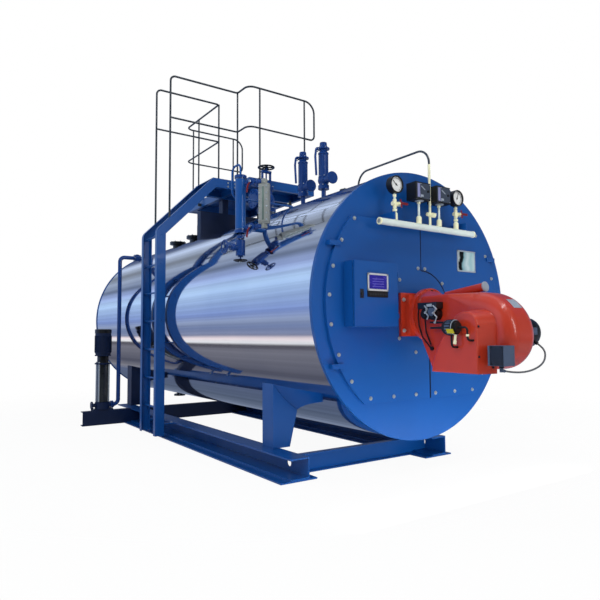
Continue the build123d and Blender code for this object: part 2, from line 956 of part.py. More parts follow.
def scoop_outline(x, flare):
    """Intake outline in the plane at x: sloping back, round crown and upright front."""
    rear = scoop_rear - flare
    front = scoop_front + flare
    crown_z = scoop_crown_z + flare / 2
    length = front - rear
    height = crown_z - scoop_low_z
    foot = (behind(-rear), scoop_low_z)
    waist = (behind(-rear - scoop_waist[0] * length), scoop_low_z + scoop_waist[1] * height)
    shoulder = (behind(-rear - scoop_shoulder[0] * length), scoop_low_z + scoop_shoulder[1] * height)
    crown = (behind(-rear - scoop_crown * length), crown_z)
    corner = (behind(-front), scoop_low_z + scoop_corner * height)
    bulge = (
        crown[0] + (corner[0] - crown[0]) * diagonal,
        corner[1] + (crown[1] - corner[1]) * diagonal,
    )
    with BuildSketch(Plane.YZ.offset(x)) as outline:
        with BuildLine():
            Spline(foot, waist, shoulder, crown, tangents=((-scoop_foot_lean, 1), (-1, 0)))
            ThreePointArc(crown, bulge, corner)
            Polyline(corner, (behind(-front), scoop_low_z), foot)
        make_face()
    return outline.sketch


scoop_x = -casing_near_x - scoop_depth
with BuildPart() as intake:
    add(scoop_outline(-casing_near_x, scoop_flare))
    add(scoop_outline(scoop_x, 0))
    loft()
    fillet(intake.faces().sort_by(Axis.X)[0].edges(), scoop_round)
save(intake.part, "burner_intake")

tube_low_z = casing_top_z + top_tube_lift
tube_start = (-top_tube_x, behind(-top_tube_from), tube_low_z)
tube_end = (-top_tube_x, behind(-top_tube_to), tube_low_z + top_tube_rise)
tube_axis = Vector(*tube_end) - Vector(*tube_start)
top_tube = turned(
    tube_start,
    tube_axis,
    ((top_tube_r, tube_axis.length - top_tube_cap_l), (top_tube_cap_r, top_tube_cap_l)),
)
with BuildPart() as sight_tube:
    add(top_tube)
    add(burner_casing.part, mode=Mode.SUBTRACT)
save(sight_tube.part, "burner_top_tube")

motor_y = behind(-motor_back)
motor_case = turned(
    (casing_far_x, motor_y, motor_z),
    (1, 0, 0),
    (
        (motor_flange_r, motor_flange_t),
        (motor_r, motor_l - motor_flange_t - motor_cover_l),
        (motor_cover_r, motor_cover_l),
    ),
)
tilt = radians(motor_gland_tilt)
gland_out = Vector(0, -cos(tilt), -sin(tilt))
motor_gland_foot = Vector(casing_far_x + motor_gland_x, motor_y, motor_z)
motor_gland_base = motor_gland_foot + gland_out * (motor_r - motor_gland_root)
motor_gland = turned(motor_gland_base, gland_out, ((gland_r, motor_gland_l),))
with BuildPart() as motor:
    add(motor_case)
    add(motor_gland)
save(motor.part, "burner_motor")

term_x = -casing_near_x - term_gap
term_y = behind(-term_back)
term_box = block((term_x - term_w, term_y - term_l, term_z), (term_x, term_y, term_z + term_h))
term_foot = block(
    (term_x, term_y - term_l / 2, term_z + term_h / 2),
    (-casing_near_x + term_foot_in, term_y, term_z + term_h),
)
gland_x = term_x - term_w / 2
gland_y = term_y - term_l / 2
gland = turned((gland_x, gland_y, term_z), (0, 0, -1), ((gland_r, gland_l),))
elbow_out = Vector(*elbow_aim).normalized()
elbow_base = Vector(gland_x, gland_y, term_z - elbow_drop)
elbow = turned(elbow_base, elbow_out, ((elbow_r, elbow_l),))
with BuildPart() as terminal_box:
    add(term_box)
    add(term_foot)
    add(burner_casing.part, mode=Mode.SUBTRACT)
    add(gland)
    add(elbow)
save(terminal_box.part, "burner_terminal_box")

# Air pressure switch: a drum lying along Y with three hoses into the casing
puck_x = scoop_x - puck_r - puck_clear
puck_y = behind(-puck_back)
puck = turned(
    (puck_x, puck_y + puck_half_l, puck_z),
    (0, -1, 0),
    (
        (puck_r * puck_cap_share, puck_half_l * 0.25),
        (puck_r * puck_body_share, puck_half_l * 0.65),
        (puck_r, puck_half_l * 0.2),
        (puck_r * puck_body_share, puck_half_l * 0.65),
        (puck_r * puck_cap_share, puck_half_l * 0.25),
    ),
)
rear_hose = round_bar(
    (
        (puck_x, puck_y, puck_z),
        (puck_x, puck_y + rear_hose_reach, puck_z),
        (-casing_near_x, puck_y + rear_hose_reach, puck_z),
    ),
    hose_r,
    hose_bend,
)
front_hose = round_bar(
    (
        (puck_x, puck_y, puck_z),
        (puck_x, puck_y - front_hose_reach, puck_z),
        (puck_x, puck_y - front_hose_reach, puck_z - front_hose_drop),
        (scoop_x, puck_y - front_hose_reach, puck_z - front_hose_drop),
    ),
    hose_r,
    hose_bend,
)
low_hose = round_bar(
    (
        (puck_x, puck_y, puck_z),
        (puck_x, puck_y, puck_z - low_hose_drop),
        (scoop_x, puck_y, puck_z - low_hose_drop),
    ),
    hose_r,
    hose_bend,
)
with BuildPart() as air_switch:
    add(puck)
    add(rear_hose)
    add(front_hose)
    add(low_hose)
save(air_switch.part, "burner_air_switch")

servo_y = behind(-servo_back)
servo_body = block(
    (-casing_near_x - servo_depth, servo_y - servo_l, servo_low_z),
    (-casing_near_x, servo_y, servo_low_z + servo_h),
)
drums = [
    turned(
        (-casing_near_x, behind(-back), servo_low_z - radius + drum_bed),
        (-1, 0, 0),
        ((radius, servo_depth - drum_cap_l), (radius * drum_cap_share, drum_cap_l)),
    )
    for back, radius in servo_drums
]
with BuildPart() as servo:
    add(servo_body)
    add(drums)
save(servo.part, "burner_servo")

# Motor cable of the burner, free between the terminal box and the motor
cable_start = elbow_base + elbow_out * elbow_l
cable_end = motor_gland_base + gland_out * motor_gland_l
cable_points = [tuple(cable_start), tuple(cable_start + elbow_out * cable_first_run)]
cable_points += [tuple(cable_start + Vector(*step)) for step in cable_steps]
cable_points.append(tuple(cable_end + gland_out * cable_last_run))
cable_points.append(tuple(cable_end))


def bend_radii(points):
    """Largest bend that each corner's two runs leave room for."""
    radii = []
    for before, corner, after in zip(points, points[1:], points[2:]):
        run_in = Vector(*corner) - Vector(*before)
        run_out = Vector(*after) - Vector(*corner)
        turn = radians(run_in.get_angle(run_out))
        radii.append(0.45 * min(run_in.length, run_out.length) / tan(turn / 2))
    return radii


cable_radii = bend_radii(cable_points)
print("cable bend radii", [round(radius) for radius in cable_radii])
with BuildPart() as cable:
    with BuildLine() as cable_route:
        FilletPolyline(*cable_points, radius=cable_radii)
    with BuildSketch(Plane(origin=cable_points[0], z_dir=cable_route.line % 0)):
        Circle(cable_r)
    sweep(path=cable_route.line)
cable_length = cable_route.wire().length
cable_ratio = cable.part.volume / (pi * cable_r**2 * cable_length)
print("cable length", round(cable_length), "volume over section by length", round(cable_ratio, 4))
save(cable.part, "burner_cable")


# Gauge manifold with its two brackets
man_centre_y = behind(-man_y)
man_tube = turned((-man_left, man_centre_y, man_z), (1, 0, 0), ((man_r, man_left + man_right),))
brackets = []
for x in (-bracket_x, bracket_x):
    with BuildPart() as bracket:
        with BuildSketch(Plane.YZ.offset(x - bracket_t / 2)):
            top = man_z + bracket_rise
            with BuildLine():
                Polyline(
                    (face_y, top),
                    (face_y, top - bracket_h),
                    (man_centre_y + man_r, top - bracket_h),
                    (man_centre_y + man_r / 2, man_z),
                    (man_centre_y - man_r / 2, man_z),
                    (man_centre_y - man_r, top - bracket_h),
                    (man_centre_y - man_r, top),
                    close=True,
                )
            make_face()
        extrude(amount=bracket_t)
    brackets.append(bracket.part)
stems = []
for x, top in gauge_stems + switch_stems:
    height = top - man_z - gauge_r if (x, top) in gauge_stems else top - man_z
    stems.append(turned((x, man_centre_y, man_z), (0, 0, 1), ((stem_r, height),)))
with BuildPart() as manifold:
    add(man_tube)
    add(brackets)
    add(stems)
save(manifold.part, "gauge_manifold")

gauge_cases = []
for x, centre_z in gauge_stems:
    centre = (x, man_centre_y + gauge_d / 2, centre_z)
    with BuildPart() as case:
        with BuildSketch(Plane(origin=centre, z_dir=(0, -1, 0))):
            Circle(gauge_r)
        extrude(amount=gauge_d)
        with BuildSketch(Plane(origin=(x, man_centre_y - gauge_d / 2, centre_z), z_dir=(0, 1, 0))):
            Circle(gauge_r - gauge_ring)
        extrude(amount=gauge_ring, mode=Mode.SUBTRACT)
    gauge_cases.append(case.part)
with BuildPart() as gauges:
    add(gauge_cases)
save(gauges.part, "pressure_gauges")

switch_cases = [
    block(
        (x - switch_w / 2, man_centre_y - switch_d / 2, low),
        (x + switch_w / 2, man_centre_y + switch_d / 2, low + switch_h),
    )
    for x, low in switch_stems
]
with BuildPart() as switches:
    add(switch_cases)
    fillet(switches.edges().filter_by(Axis.Z), switch_round)
save(switches.part, "pressure_switches")

valves = []
valve_z = man_z + man_r + gauge_valve_rise
lever_front_y = man_centre_y - gauge_valve_knob_l
for x, centre_z in gauge_stems:
    barrel = turned(
        (x - gauge_valve_l / 2, man_centre_y, valve_z),
        (1, 0, 0),
        ((gauge_valve_r, gauge_valve_l),),
    )
    lever = block(
        (x + lever_from, lever_front_y, valve_z - lever_h / 2),
        (x + lever_from + lever_l, lever_front_y + lever_t, valve_z + lever_h / 2),
    )
    knob = turned(
        (x + gauge_valve_l / 2, man_centre_y, valve_z),
        (0, -1, 0),
        ((gauge_valve_knob_r, gauge_valve_knob_l),),
    )
    with BuildPart() as valve:
        add(barrel)
        add(knob)
        add(lever)
        add(manifold.part, mode=Mode.SUBTRACT)
    valves.append(valve.part)
with BuildPart() as gauge_valves:
    add(valves)
save(gauge_valves.part, "gauge_valves")

siphon_foot = (0, behind(siphon_back), clad_top(0) + seat_gap)
siphon_points = (
    siphon_foot,
    (0, behind(siphon_back), siphon_top_z),
    (0, man_centre_y, siphon_top_z),
    (0, man_centre_y, man_z + man_r),
)
siphon = round_bar(siphon_points, siphon_r, siphon_bend)
siphon_boss = turned(siphon_foot, (0, 0, 1), siphon_boss_steps)
with BuildPart() as siphon_pipe:
    add(siphon)
    add(siphon_boss)
save(siphon_pipe.part, "siphon_pipe")


# Water column, level gauge and drain valves
col_y = behind(col_back)
column_tube = turned((-col_x, col_y, col_low_z), (0, 0, 1), ((col_r, col_high_z - col_low_z),))
low_link = turned(
    (-col_x, col_y, arm_low_z),
    (1, 0, 0),
    ((column_pipe_r, col_x - clad_side(arm_low_z) + low_link_in),),
)
top_link_z = arm_high_z + top_link_rise
top_link = round_bar(
    (
        (-col_x, col_y, top_link_z),
        (-top_link_x, col_y, top_link_z),
        (-top_link_x, col_y, clad_top(top_link_x) - root_depth),
    ),
    column_pipe_r,
    column_pipe_bend,
)
loop_y = col_y + loop_back
loop_low_z = top_link_z - loop_drop
loop = round_bar(
    (
        (-col_x, col_y, col_high_z - loop_r / 2),
        (-col_x, col_y, col_high_z + loop_rise),
        (-col_x, loop_y, col_high_z + loop_rise),
        (-col_x, loop_y, loop_low_z),
        (-clad_side(loop_low_z) - 2, loop_y, loop_low_z),
    ),
    loop_r,
    loop_bend,
)
with BuildPart() as water_column:
    add(column_tube)
    add(low_link)
    add(top_link)
    add(loop)
    add(shell_space, mode=Mode.SUBTRACT)
save(water_column.part, "water_column")

glass_y = behind(glass_back)
arm_run = Vector(-glass_x, glass_y, 0) - Vector(-col_x, col_y, 0)
arm_dir = arm_run.normalized()
glass_plane = Plane(origin=(-glass_x, glass_y, glass_low_z), x_dir=arm_dir, z_dir=(0, 0, 1))
with BuildPart() as level_gauge:
    with BuildSketch(glass_plane):
        Rectangle(glass_w, glass_d)
    extrude(amount=glass_high_z - glass_low_z)
    fillet(level_gauge.edges().filter_by(Axis.Z), glass_round)
glass_heads = [
    turned((-glass_x, glass_y, glass_low_z), (0, 0, -1), ((glass_head_r, glass_head_l),)),
    turned((-glass_x, glass_y, glass_high_z), (0, 0, 1), ((glass_head_r, glass_head_l),)),
]
save(level_gauge.part, "level_gauge")

cocks = []
outward = Vector(0, 0, 1).cross(arm_dir)
if outward.X > 0:
    outward = outward * -1
for height, head in ((arm_low_z, glass_heads[0]), (arm_high_z, glass_heads[1])):
    start = Vector(-col_x, col_y, height)
    arm = turned(start, arm_dir, ((arm_r, arm_run.length),))
    middle = start + arm_run / 2
    barrel = turned(middle - outward * cock_r, outward, ((cock_r, 2 * cock_r),))
    plug = turned(middle + outward * cock_r, outward, ((plug_r, plug_l),))
    grip = middle + outward * (cock_r + plug_l - cock_handle_r)
    handle = round_bar(
        (
            grip,
            grip - arm_dir * cock_handle_knee[0] - Vector(0, 0, cock_handle_knee[1]),
            grip - arm_dir * cock_handle_end[0] - Vector(0, 0, cock_handle_end[1]),
        ),
        cock_handle_r,
        cock_handle_bend,
    )
    with BuildPart() as cock:
        add(arm)
        add(barrel)
        add(plug)
        add(handle)
        add(head)
        add(water_column.part, mode=Mode.SUBTRACT)
        add(level_gauge.part, mode=Mode.SUBTRACT)
    cocks.append(cock.part)
with BuildPart() as gauge_cocks:
    add(cocks)
save(gauge_cocks.part, "gauge_cocks")

# Drain valves under the column: one handwheel to the side and one below
drain_top_z = col_low_z - sum(length for radius, length in drain_neck_steps)
drain_neck = turned((-col_x, col_y, col_low_z), (0, 0, -1), drain_neck_steps)
drain_body_l = 2 * (drain_top_z - drain_z)
drain_body = turned((-col_x, col_y, drain_top_z), (0, 0, -1), ((drain_body_r, drain_body_l),))
side_spindle = turned(
    (-col_x, col_y, drain_z),
    (-1, 0, 0),
    (
        (side_gland_r, side_gland_l),
        (spindle_r, drain_wheel_reach - side_gland_l + wheel_hub_l),
    ),
)
low_gland_l = drain_body_l / 2 + drain_cap_l
low_spindle = turned(
    (-col_x, col_y, drain_z),
    (0, 0, -1),
    (
        (drain_cap_r, low_gland_l),
        (spindle_r, drain_wheel_drop - low_gland_l + wheel_hub_l),
    ),
)
with BuildPart() as column_drain:
    add(drain_neck)
    add(drain_body)
    add(side_spindle)
    add(low_spindle)
save(column_drain.part, "column_drain")

wheel_bore_r = spindle_r + wheel_bore_gap
side_wheel = handwheel(
    (-col_x - drain_wheel_reach, col_y, drain_z),
    (-1, 0, 0),
    wheel_r,
    wheel_rim_r,
    wheel_hub_r,
    wheel_hub_l,
    wheel_spoke_r,
    wheel_bore_r,
)
low_wheel = handwheel(
    (-col_x, col_y, drain_z - drain_wheel_drop),
    (0, 0, -1),
    wheel_r,
    wheel_rim_r,
    wheel_hub_r,
    wheel_hub_l,
    wheel_spoke_r,
    wheel_bore_r,
)
save(side_wheel, "drain_wheel_side")
save(low_wheel, "drain_wheel_low")


# Main steam stop valve
steam_y = behind(steam_back)
steam_body_z = clad_top(0) + steam_body_rise
steam_bonnet_z = steam_body_z + steam_bonnet_rise
steam_wheel_z = steam_body_z + steam_wheel_rise
steam_neck_l = steam_body_z - steam_body_r - 2 * steam_flange_t - clad_top(0) + root_depth
steam_neck = turned(
    (0, steam_y, clad_top(0) - root_depth),
    (0, 0, 1),
    (
        (steam_neck_r, steam_neck_l),
        (steam_flange_r, 2 * steam_flange_t),
        (steam_neck_r, steam_body_r),
    ),
)
steam_outlet = turned(
    (0, steam_y, steam_body_z), (-1, 0, 0), ((steam_neck_r, steam_reach - steam_flange_t),)
)
steam_flange = flanged_end(
    (-(steam_reach - steam_flange_t), steam_y, steam_body_z),
    (-1, 0, 0),
    steam_flange_r,
    steam_flange_t,
    steam_pcd,
    steam_bolts,
    steam_bolt_r,
)
bonnet = turned(
    (0, steam_y, steam_body_z),
    (0, 0, 1),
    (
        (bonnet_r, steam_bonnet_rise - bonnet_flange_t),
        (bonnet_flange_r, bonnet_flange_t),
        (gland_cup_r, gland_cup_l),
        (gland_cup_r * 0.65, gland_cup_l * 0.55),
    ),
)
yoke_top_z = steam_wheel_z - yoke_drop
yoke = [
    block(
        (side * yoke_half - yoke_t / 2, steam_y - yoke_t * 0.9, steam_bonnet_z),
        (side * yoke_half + yoke_t / 2, steam_y + yoke_t * 0.9, yoke_top_z - yoke_t),
    )
    for side in (-1, 1)
]
yoke_top = block(
    (-yoke_half - yoke_t / 2, steam_y - 1.25 * yoke_t, yoke_top_z - 1.5 * yoke_t),
    (yoke_half + yoke_t / 2, steam_y + 1.25 * yoke_t, yoke_top_z),
)
steam_spindle = turned(
    (0, steam_y, steam_bonnet_z),
    (0, 0, 1),
    ((steam_spindle_r, steam_wheel_z - steam_bonnet_z + spindle_over),),
)
with BuildPart() as steam_valve:
    add(steam_neck)
    with Locations((0, steam_y, steam_body_z)):
        Sphere(steam_body_r)
    add(steam_outlet)
    add(steam_flange)
    add(bonnet)
    add(yoke)
    add(yoke_top)
    add(steam_spindle)
    add(shell_space, mode=Mode.SUBTRACT)
save(steam_valve.part, "steam_valve")

steam_wheel = handwheel(
    (0, steam_y, steam_wheel_z),
    (0, 0, 1),
    steam_wheel_r,
    steam_wheel_rim_r,
    steam_hub_r,
    steam_hub_l,
    steam_spoke_r,
    steam_spindle_r + wheel_bore_gap,
)
save(steam_wheel, "steam_valve_wheel")


# Spring-loaded safety valves, their outlets towards the front
safety_flange_z = clad_top(0) + safety_flange_rise
safety_top_z = safety_flange_z + safety_h
safety_root_l = safety_flange_rise - safety_foot_drop + root_depth
safety_spring_l = (
    safety_h
    + safety_foot_drop
    - 2 * safety_foot_t
    - safety_stem_l
    - 2 * safety_collar_t
    - safety_cap_t
)


def safety_valve(y):
    """Valve on its neck, with spring bonnet, cap and lifting lever."""
    mast = turned(
        (0, y, clad_top(0) - root_depth),
        (0, 0, 1),
        (
            (safety_neck_r, safety_root_l),
            (safety_foot_r, safety_foot_t),
            (safety_stem_r, safety_stem_l),
            (safety_body_r + 6, safety_collar_t),
            (safety_body_r, safety_spring_l),
            (safety_cap_r, safety_cap_t),
            (safety_cap_r * 0.65, safety_collar_t),
            (safety_cap_r * 0.55, safety_foot_t),
        ),
    )
    outlet_z = safety_flange_z + safety_outlet_rise
    outlet = turned(
        (0, y, outlet_z),
        (0, -1, 0),
        (
            (safety_outlet_r, safety_outlet_reach - safety_outlet_flange_t),
            (safety_outlet_flange_r, safety_outlet_flange_t),
        ),
    )
    lever = round_bar(
        (
            (-safety_cap_r * 0.65, y, safety_top_z - safety_cap_r),
            (-safety_cap_r * 1.4, y, safety_top_z - safety_cap_r - 4),
            (-safety_cap_r * 1.6, y, safety_top_z - 0.35 * safety_h),
            (-safety_cap_r * 1.42, y, outlet_z + 0.1 * safety_h),
        ),
        safety_lever_r,
        safety_lever_bend,
    )
    with BuildPart() as valve:
        add(mast)
        with Locations((0, y, outlet_z)):
            Sphere(safety_bowl_r)
        add(outlet)
        add(lever)
        add(shell_space, mode=Mode.SUBTRACT)
    return valve.part


save(safety_valve(behind(safety_backs[0])), "safety_valve_front")
save(safety_valve(behind(safety_backs[1])), "safety_valve_rear")

# Blanked nozzles, vent and test cock on the shell, and the blow-down below it
nozzles = [
    turned(
        (-blank_x, behind(back), clad_top(blank_x) - root_depth),
        (0, 0, 1),
        ((blank_neck_r, blank_neck_l), (blank_r, 2 * blank_t)),
    )
    for back in blank_backs
]
vent = turned(
    (0, behind(vent_back), clad_top(0) - root_depth),
    (0, 0, 1),
    ((vent_neck_r, vent_neck_l), (vent_r, 2 * vent_t)),
)
test_cock = turned(
    (-cock_x, behind(cock_back), clad_top(cock_x) - root_depth),
    (0, 0, 1),
    ((cock_neck_r, cock_neck_l), (cock_body_r, cock_body_l), (cock_top_r, cock_top_l)),
)
blowdown_top = clad_bottom(0) + root_depth / 2
blowdown = turned(
    (0, behind(blowdown_back), blowdown_top),
    (0, 0, -1),
    (
        (blowdown_r, blowdown_top - blowdown_z - blowdown_flange_t),
        (blowdown_flange_r, blowdown_flange_t),
    ),
)
nozzles += [vent, test_cock, blowdown]
with BuildPart() as shell_nozzles:
    add(nozzles)
    add(shell_space, mode=Mode.SUBTRACT)
save(shell_nozzles.part, "shell_nozzles")


# Ladder rails that bend over into the platform's side members
rail_out_x = clad_r + rail_gap + rail_w
rail_top_x = deck_left_x + landing_l
knee_z = deck_z - (rail_out_x - rail_top_x)
lean = tan(radians(45) / 2)
ladder_y = behind(ladder_front)


def rail_outline(inset, overrun):
    """Strip in the XZ plane that follows the rail, narrowed by inset on both long sides."""
    outer = -rail_out_x + inset
    inner = -rail_out_x + rail_w - inset
    top = deck_z - inset
    under = deck_z - rail_w + inset
    knee_out = knee_z - inset * lean
    knee_in = knee_z - (rail_w - inset) * lean
    bend_out = -rail_top_x + inset * lean
    bend_in = -rail_top_x + (rail_w - inset) * lean
    end = -deck_left_x + overrun
    foot = rail_foot_z - overrun
    return (
        (outer, foot),
        (outer, knee_out),
        (bend_out, top),
        (end, top),
        (end, under),
        (bend_in, under),
        (inner, knee_in),
        (inner, foot),
    )


def ladder_rail(y, open_side):
    """Channel rail with its web at y and its flanges towards open_side, clipped to the skid."""
    with BuildPart() as rail:
        with BuildSketch(Plane.XZ.offset(-y)):
            with BuildLine():
                Polyline(*rail_outline(0, 0), close=True)
            make_face()
            knees = vertices().filter_by(lambda corner: abs(corner.Y - knee_z) < rail_w)
            fillet(knees.sort_by(Axis.X)[0], knee_round)
        extrude(amount=-open_side * rail_d)
        with BuildSketch(Plane.XZ.offset(-(y + open_side * rail_t))):
            with BuildLine():
                Polyline(*rail_outline(rail_t, rail_w), close=True)
            make_face()
            knees = vertices().filter_by(lambda corner: abs(corner.Y - knee_z) < rail_w)
            fillet(knees.sort_by(Axis.X)[0], knee_round - rail_t)
        extrude(amount=-open_side * rail_d, mode=Mode.SUBTRACT)
        clip_low_x = -rail_out_x + rail_w
        clip_l = rail_out_x - rail_w - beam_web_x - beam_flange_w
        with BuildSketch(Plane.XY.offset(beam_h - clip_t)):
            with Locations((clip_low_x, y + open_side * clip_w / 2)):
                Rectangle(clip_l, clip_w, align=(Align.MIN, Align.CENTER))
        extrude(amount=clip_t)
    return rail.part


save(ladder_rail(ladder_y, 1), "ladder_rail_front")
save(ladder_rail(ladder_y + ladder_w, -1), "ladder_rail_rear")

rung_x = -rail_out_x + rail_w / 2
rung_places = [(rung_x, rung_first_z + rung_step * step) for step in range(rung_count)]
for share in slope_rung_shares:
    along = share * (rail_out_x - rail_top_x)
    rung_places.append((rung_x + along, knee_z - rail_w * lean / 2 + along))
rungs = [
    turned((x, ladder_y + rail_t, z), (0, 1, 0), ((rung_r, ladder_w - 2 * rail_t),))
    for x, z in rung_places
]
with BuildPart() as ladder_rungs:
    add(rungs)
save(ladder_rungs.part, "ladder_rungs")

# Platform: channel frame, joists, deck plate and supports
deck_y0 = behind(deck_front)
deck_y1 = behind(deck_back)
deck_mid = ((deck_right_x - deck_left_x) / 2, (deck_y0 + deck_y1) / 2)
deck_l = deck_right_x + deck_left_x
deck_w = deck_y1 - deck_y0
with BuildPart() as platform_frame:
    with BuildSketch(Plane.XY.offset(deck_z - frame_h)):
        with Locations(deck_mid):
            Rectangle(deck_l, deck_w)
            Rectangle(deck_l - 2 * frame_w, deck_w - 2 * frame_w, mode=Mode.SUBTRACT)
    extrude(amount=frame_h)
    with BuildSketch(Plane.XY.offset(deck_z - frame_h + frame_t)):
        with Locations(deck_mid):
            Rectangle(deck_l - 2 * frame_t, deck_w - 2 * frame_t)
    extrude(amount=frame_h - 2 * frame_t, mode=Mode.SUBTRACT)
    with BuildSketch(Plane.XY.offset(deck_z - frame_h)):
        for back in support_backs:
            with Locations((deck_mid[0], behind(back) + support_t / 2)):
                Rectangle(deck_l - 2 * frame_t, support_t)
        with Locations((deck_mid[0], behind(joist_back) + joist_w / 2)):
            Rectangle(deck_l - 2 * frame_t, joist_w)
    extrude(amount=frame_h)
save(platform_frame.part, "platform_frame")

with BuildPart() as deck:
    with BuildSketch(Plane.XY.offset(deck_z)):
        with Locations(deck_mid):
            Rectangle(deck_l, deck_w)
        with Locations((-rail_top_x, ladder_y)):
            Rectangle(landing_l, ladder_w, align=(Align.MIN, Align.MIN))
    extrude(amount=deck_t)
save(deck.part, "platform_deck")

supports = []
for back, left_x in zip(support_backs, support_left_xs):
    with BuildPart() as support:
        with BuildSketch(Plane.XZ.offset(-behind(back))):
            with BuildLine():
                Polyline(
                    (-left_x, clad_top(left_x) - seat_gap),
                    (-left_x, support_top_z),
                    (support_right_x, support_top_z),
                    (support_right_x, clad_top(support_right_x) - seat_gap),
                    (0, axis_z + clad_r / 2),
                    close=True,
                )
            make_face()
            for x in (support_post - min(left_x, deck_left_x), support_right_x - support_post):
                with Locations((x, support_top_z)):
                    Rectangle(
                        support_post,
                        deck_z - frame_h - support_top_z,
                        align=(Align.CENTER, Align.MIN),
                    )
        extrude(amount=-support_t)
        add(shell_space, mode=Mode.SUBTRACT)
    supports.append(support.part)
with BuildPart() as platform_supports:
    add(supports)
save(platform_supports.part, "platform_supports")


# Handrails: a top rail that loops back into the mid rail
hand_z = deck_z + deck_t + hand_rise
mid_z = deck_z + deck_t + mid_rise


def bent_bar(points, radius, bends):
    """Round bar along straight runs with a bend radius of its own at each corner."""
    with BuildPart() as bar:
        with BuildLine() as route:
            FilletPolyline(*points, radius=bends)
        with BuildSketch(Plane(origin=points[0], z_dir=route.line % 0)):
            Circle(radius)
        sweep(path=route.line)
    return bar.part


def handrail(start_y, wide_y, jog_x, end_x, last_x, posts):
    """Rail over one stringer, then out along the wide part of the platform."""
    slope_z = knee_z + rail_out_x - hand_start_x
    start_z = slope_z - hand_r
    top = bent_bar(
        (
            (-hand_start_x, start_y, start_z),
            (-hand_start_x, start_y, hand_z),
            (-jog_x, start_y, hand_z),
            (-jog_x, wide_y, hand_z),
            (end_x, wide_y, hand_z),
            (end_x, wide_y, mid_z),
            (last_x, wide_y, mid_z),
        ),
        hand_r,
        hand_bends,
    )
    middle = bent_bar(
        (
            (-hand_start_x, start_y, mid_z),
            (-jog_x, start_y, mid_z),
            (-jog_x, wide_y, mid_z),
            (last_x, wide_y, mid_z),
        ),
        post_r,
        mid_bends,
    )
    uprights = [
        turned((x, y, low), (0, 0, 1), ((post_r, hand_z - low),)) for x, y, low in posts
    ]
    with BuildPart() as rails:
        add(top)
        add(middle)
        add(uprights)
        with BuildSketch(Plane.XZ.offset(-start_y)):
            with BuildLine():
                Polyline(
                    (-hand_start_x - 2 * hand_r, slope_z - 2 * hand_r),
                    (-hand_start_x + 2 * hand_r, slope_z + 2 * hand_r),
                    (-hand_start_x + 2 * hand_r, slope_z - 2 * hand_r),
                    close=True,
                )
            make_face()
        extrude(amount=2 * hand_r, both=True, mode=Mode.SUBTRACT)
    return rails.part


post_z = deck_z + deck_t
front_start_y = ladder_y + rail_d / 2
front_wide_y = deck_y0 + hand_inset
front_posts = (
    (-front_jog_x, front_start_y, post_z),
    (-deck_left_x + front_post_in, front_wide_y, post_z),
    (front_last_x, front_wide_y, post_z),
)
front_rails = handrail(
    front_start_y, front_wide_y, front_jog_x, front_end_x, front_last_x, front_posts
)
save(front_rails, "handrail_front")

rear_start_y = ladder_y + ladder_w - rail_d / 2
rear_wide_y = deck_y1 - hand_inset
side_post_y = behind(side_post_back)
side_low_z = deck_z - frame_h + frame_t
rear_posts = (
    (-rear_jog_x, rear_start_y, post_z),
    (-rear_jog_x, side_post_y, side_low_z),
    (-deck_left_x + rear_post_in, rear_wide_y, post_z),
    (rear_last_x, rear_wide_y, post_z),
)
with BuildPart() as rear_rails:
    add(
        handrail(
            rear_start_y, rear_wide_y, rear_jog_x, rear_end_x, rear_last_x, rear_posts
        )
    )
    with BuildSketch(Plane.XY.offset(side_low_z)):
        with Locations((-deck_left_x, side_post_y)):
            Rectangle(rear_jog_x - deck_left_x, post_r, align=(Align.MAX, Align.CENTER))
    extrude(amount=side_clip_h)
save(rear_rails.part, "handrail_rear")


# Feed pump on the end of the rear cross member
pump_y = behind(rear_cross_front) + rear_cross_w / 2
pump_steps = (
    (pump_foot_r, pump_foot_h),
    (pump_barrel_r, pump_barrel_top_z - beam_h - pump_base_t - pump_foot_h),
    (pump_flange_r, pump_flange_t),
    (pump_neck_r, pump_motor_low_z - pump_barrel_top_z - 2 * pump_flange_t),
    (pump_flange_r, pump_flange_t),
)
pump_base = block(
    (-pump_x - pump_base_w / 2, pump_y - rear_cross_w / 2, beam_h),
    (-pump_x + pump_base_w / 2, pump_y + rear_cross_w / 2, beam_h + pump_base_t),
)
pump_body = turned((-pump_x, pump_y, beam_h + pump_base_t), (0, 0, 1), pump_steps)
rod_low = beam_h + pump_base_t + pump_foot_h - root_depth
rod_l = pump_barrel_top_z - rod_low + tie_rod_over
rods = []
for turn in range(tie_rod_count):
    angle = radians(360 * (turn + 0.5) / tie_rod_count)
    rod_place = (-pump_x + tie_rod_ring * cos(angle), pump_y + tie_rod_ring * sin(angle), rod_low)
    rods.append(turned(rod_place, (0, 0, 1), ((tie_rod_r, rod_l),)))
suction = turned(
    (-pump_x, pump_y, pump_port_z),
    (-1, 0, 0),
    ((suction_r, suction_reach), (suction_flange_r, suction_flange_t)),
)
with BuildPart() as pump:
    add(pump_base)
    add(pump_body)
    add(rods)
    add(suction)
save(pump.part, "feed_pump")

pump_motor_l = pump_motor_top_z - pump_motor_low_z - pump_motor_foot[1] - pump_motor_cover[1]
pump_motor = turned(
    (-pump_x, pump_y, pump_motor_low_z),
    (0, 0, 1),
    (pump_motor_foot, (pump_motor_r, pump_motor_l), pump_motor_cover),
)
save(pump_motor, "feed_pump_motor")

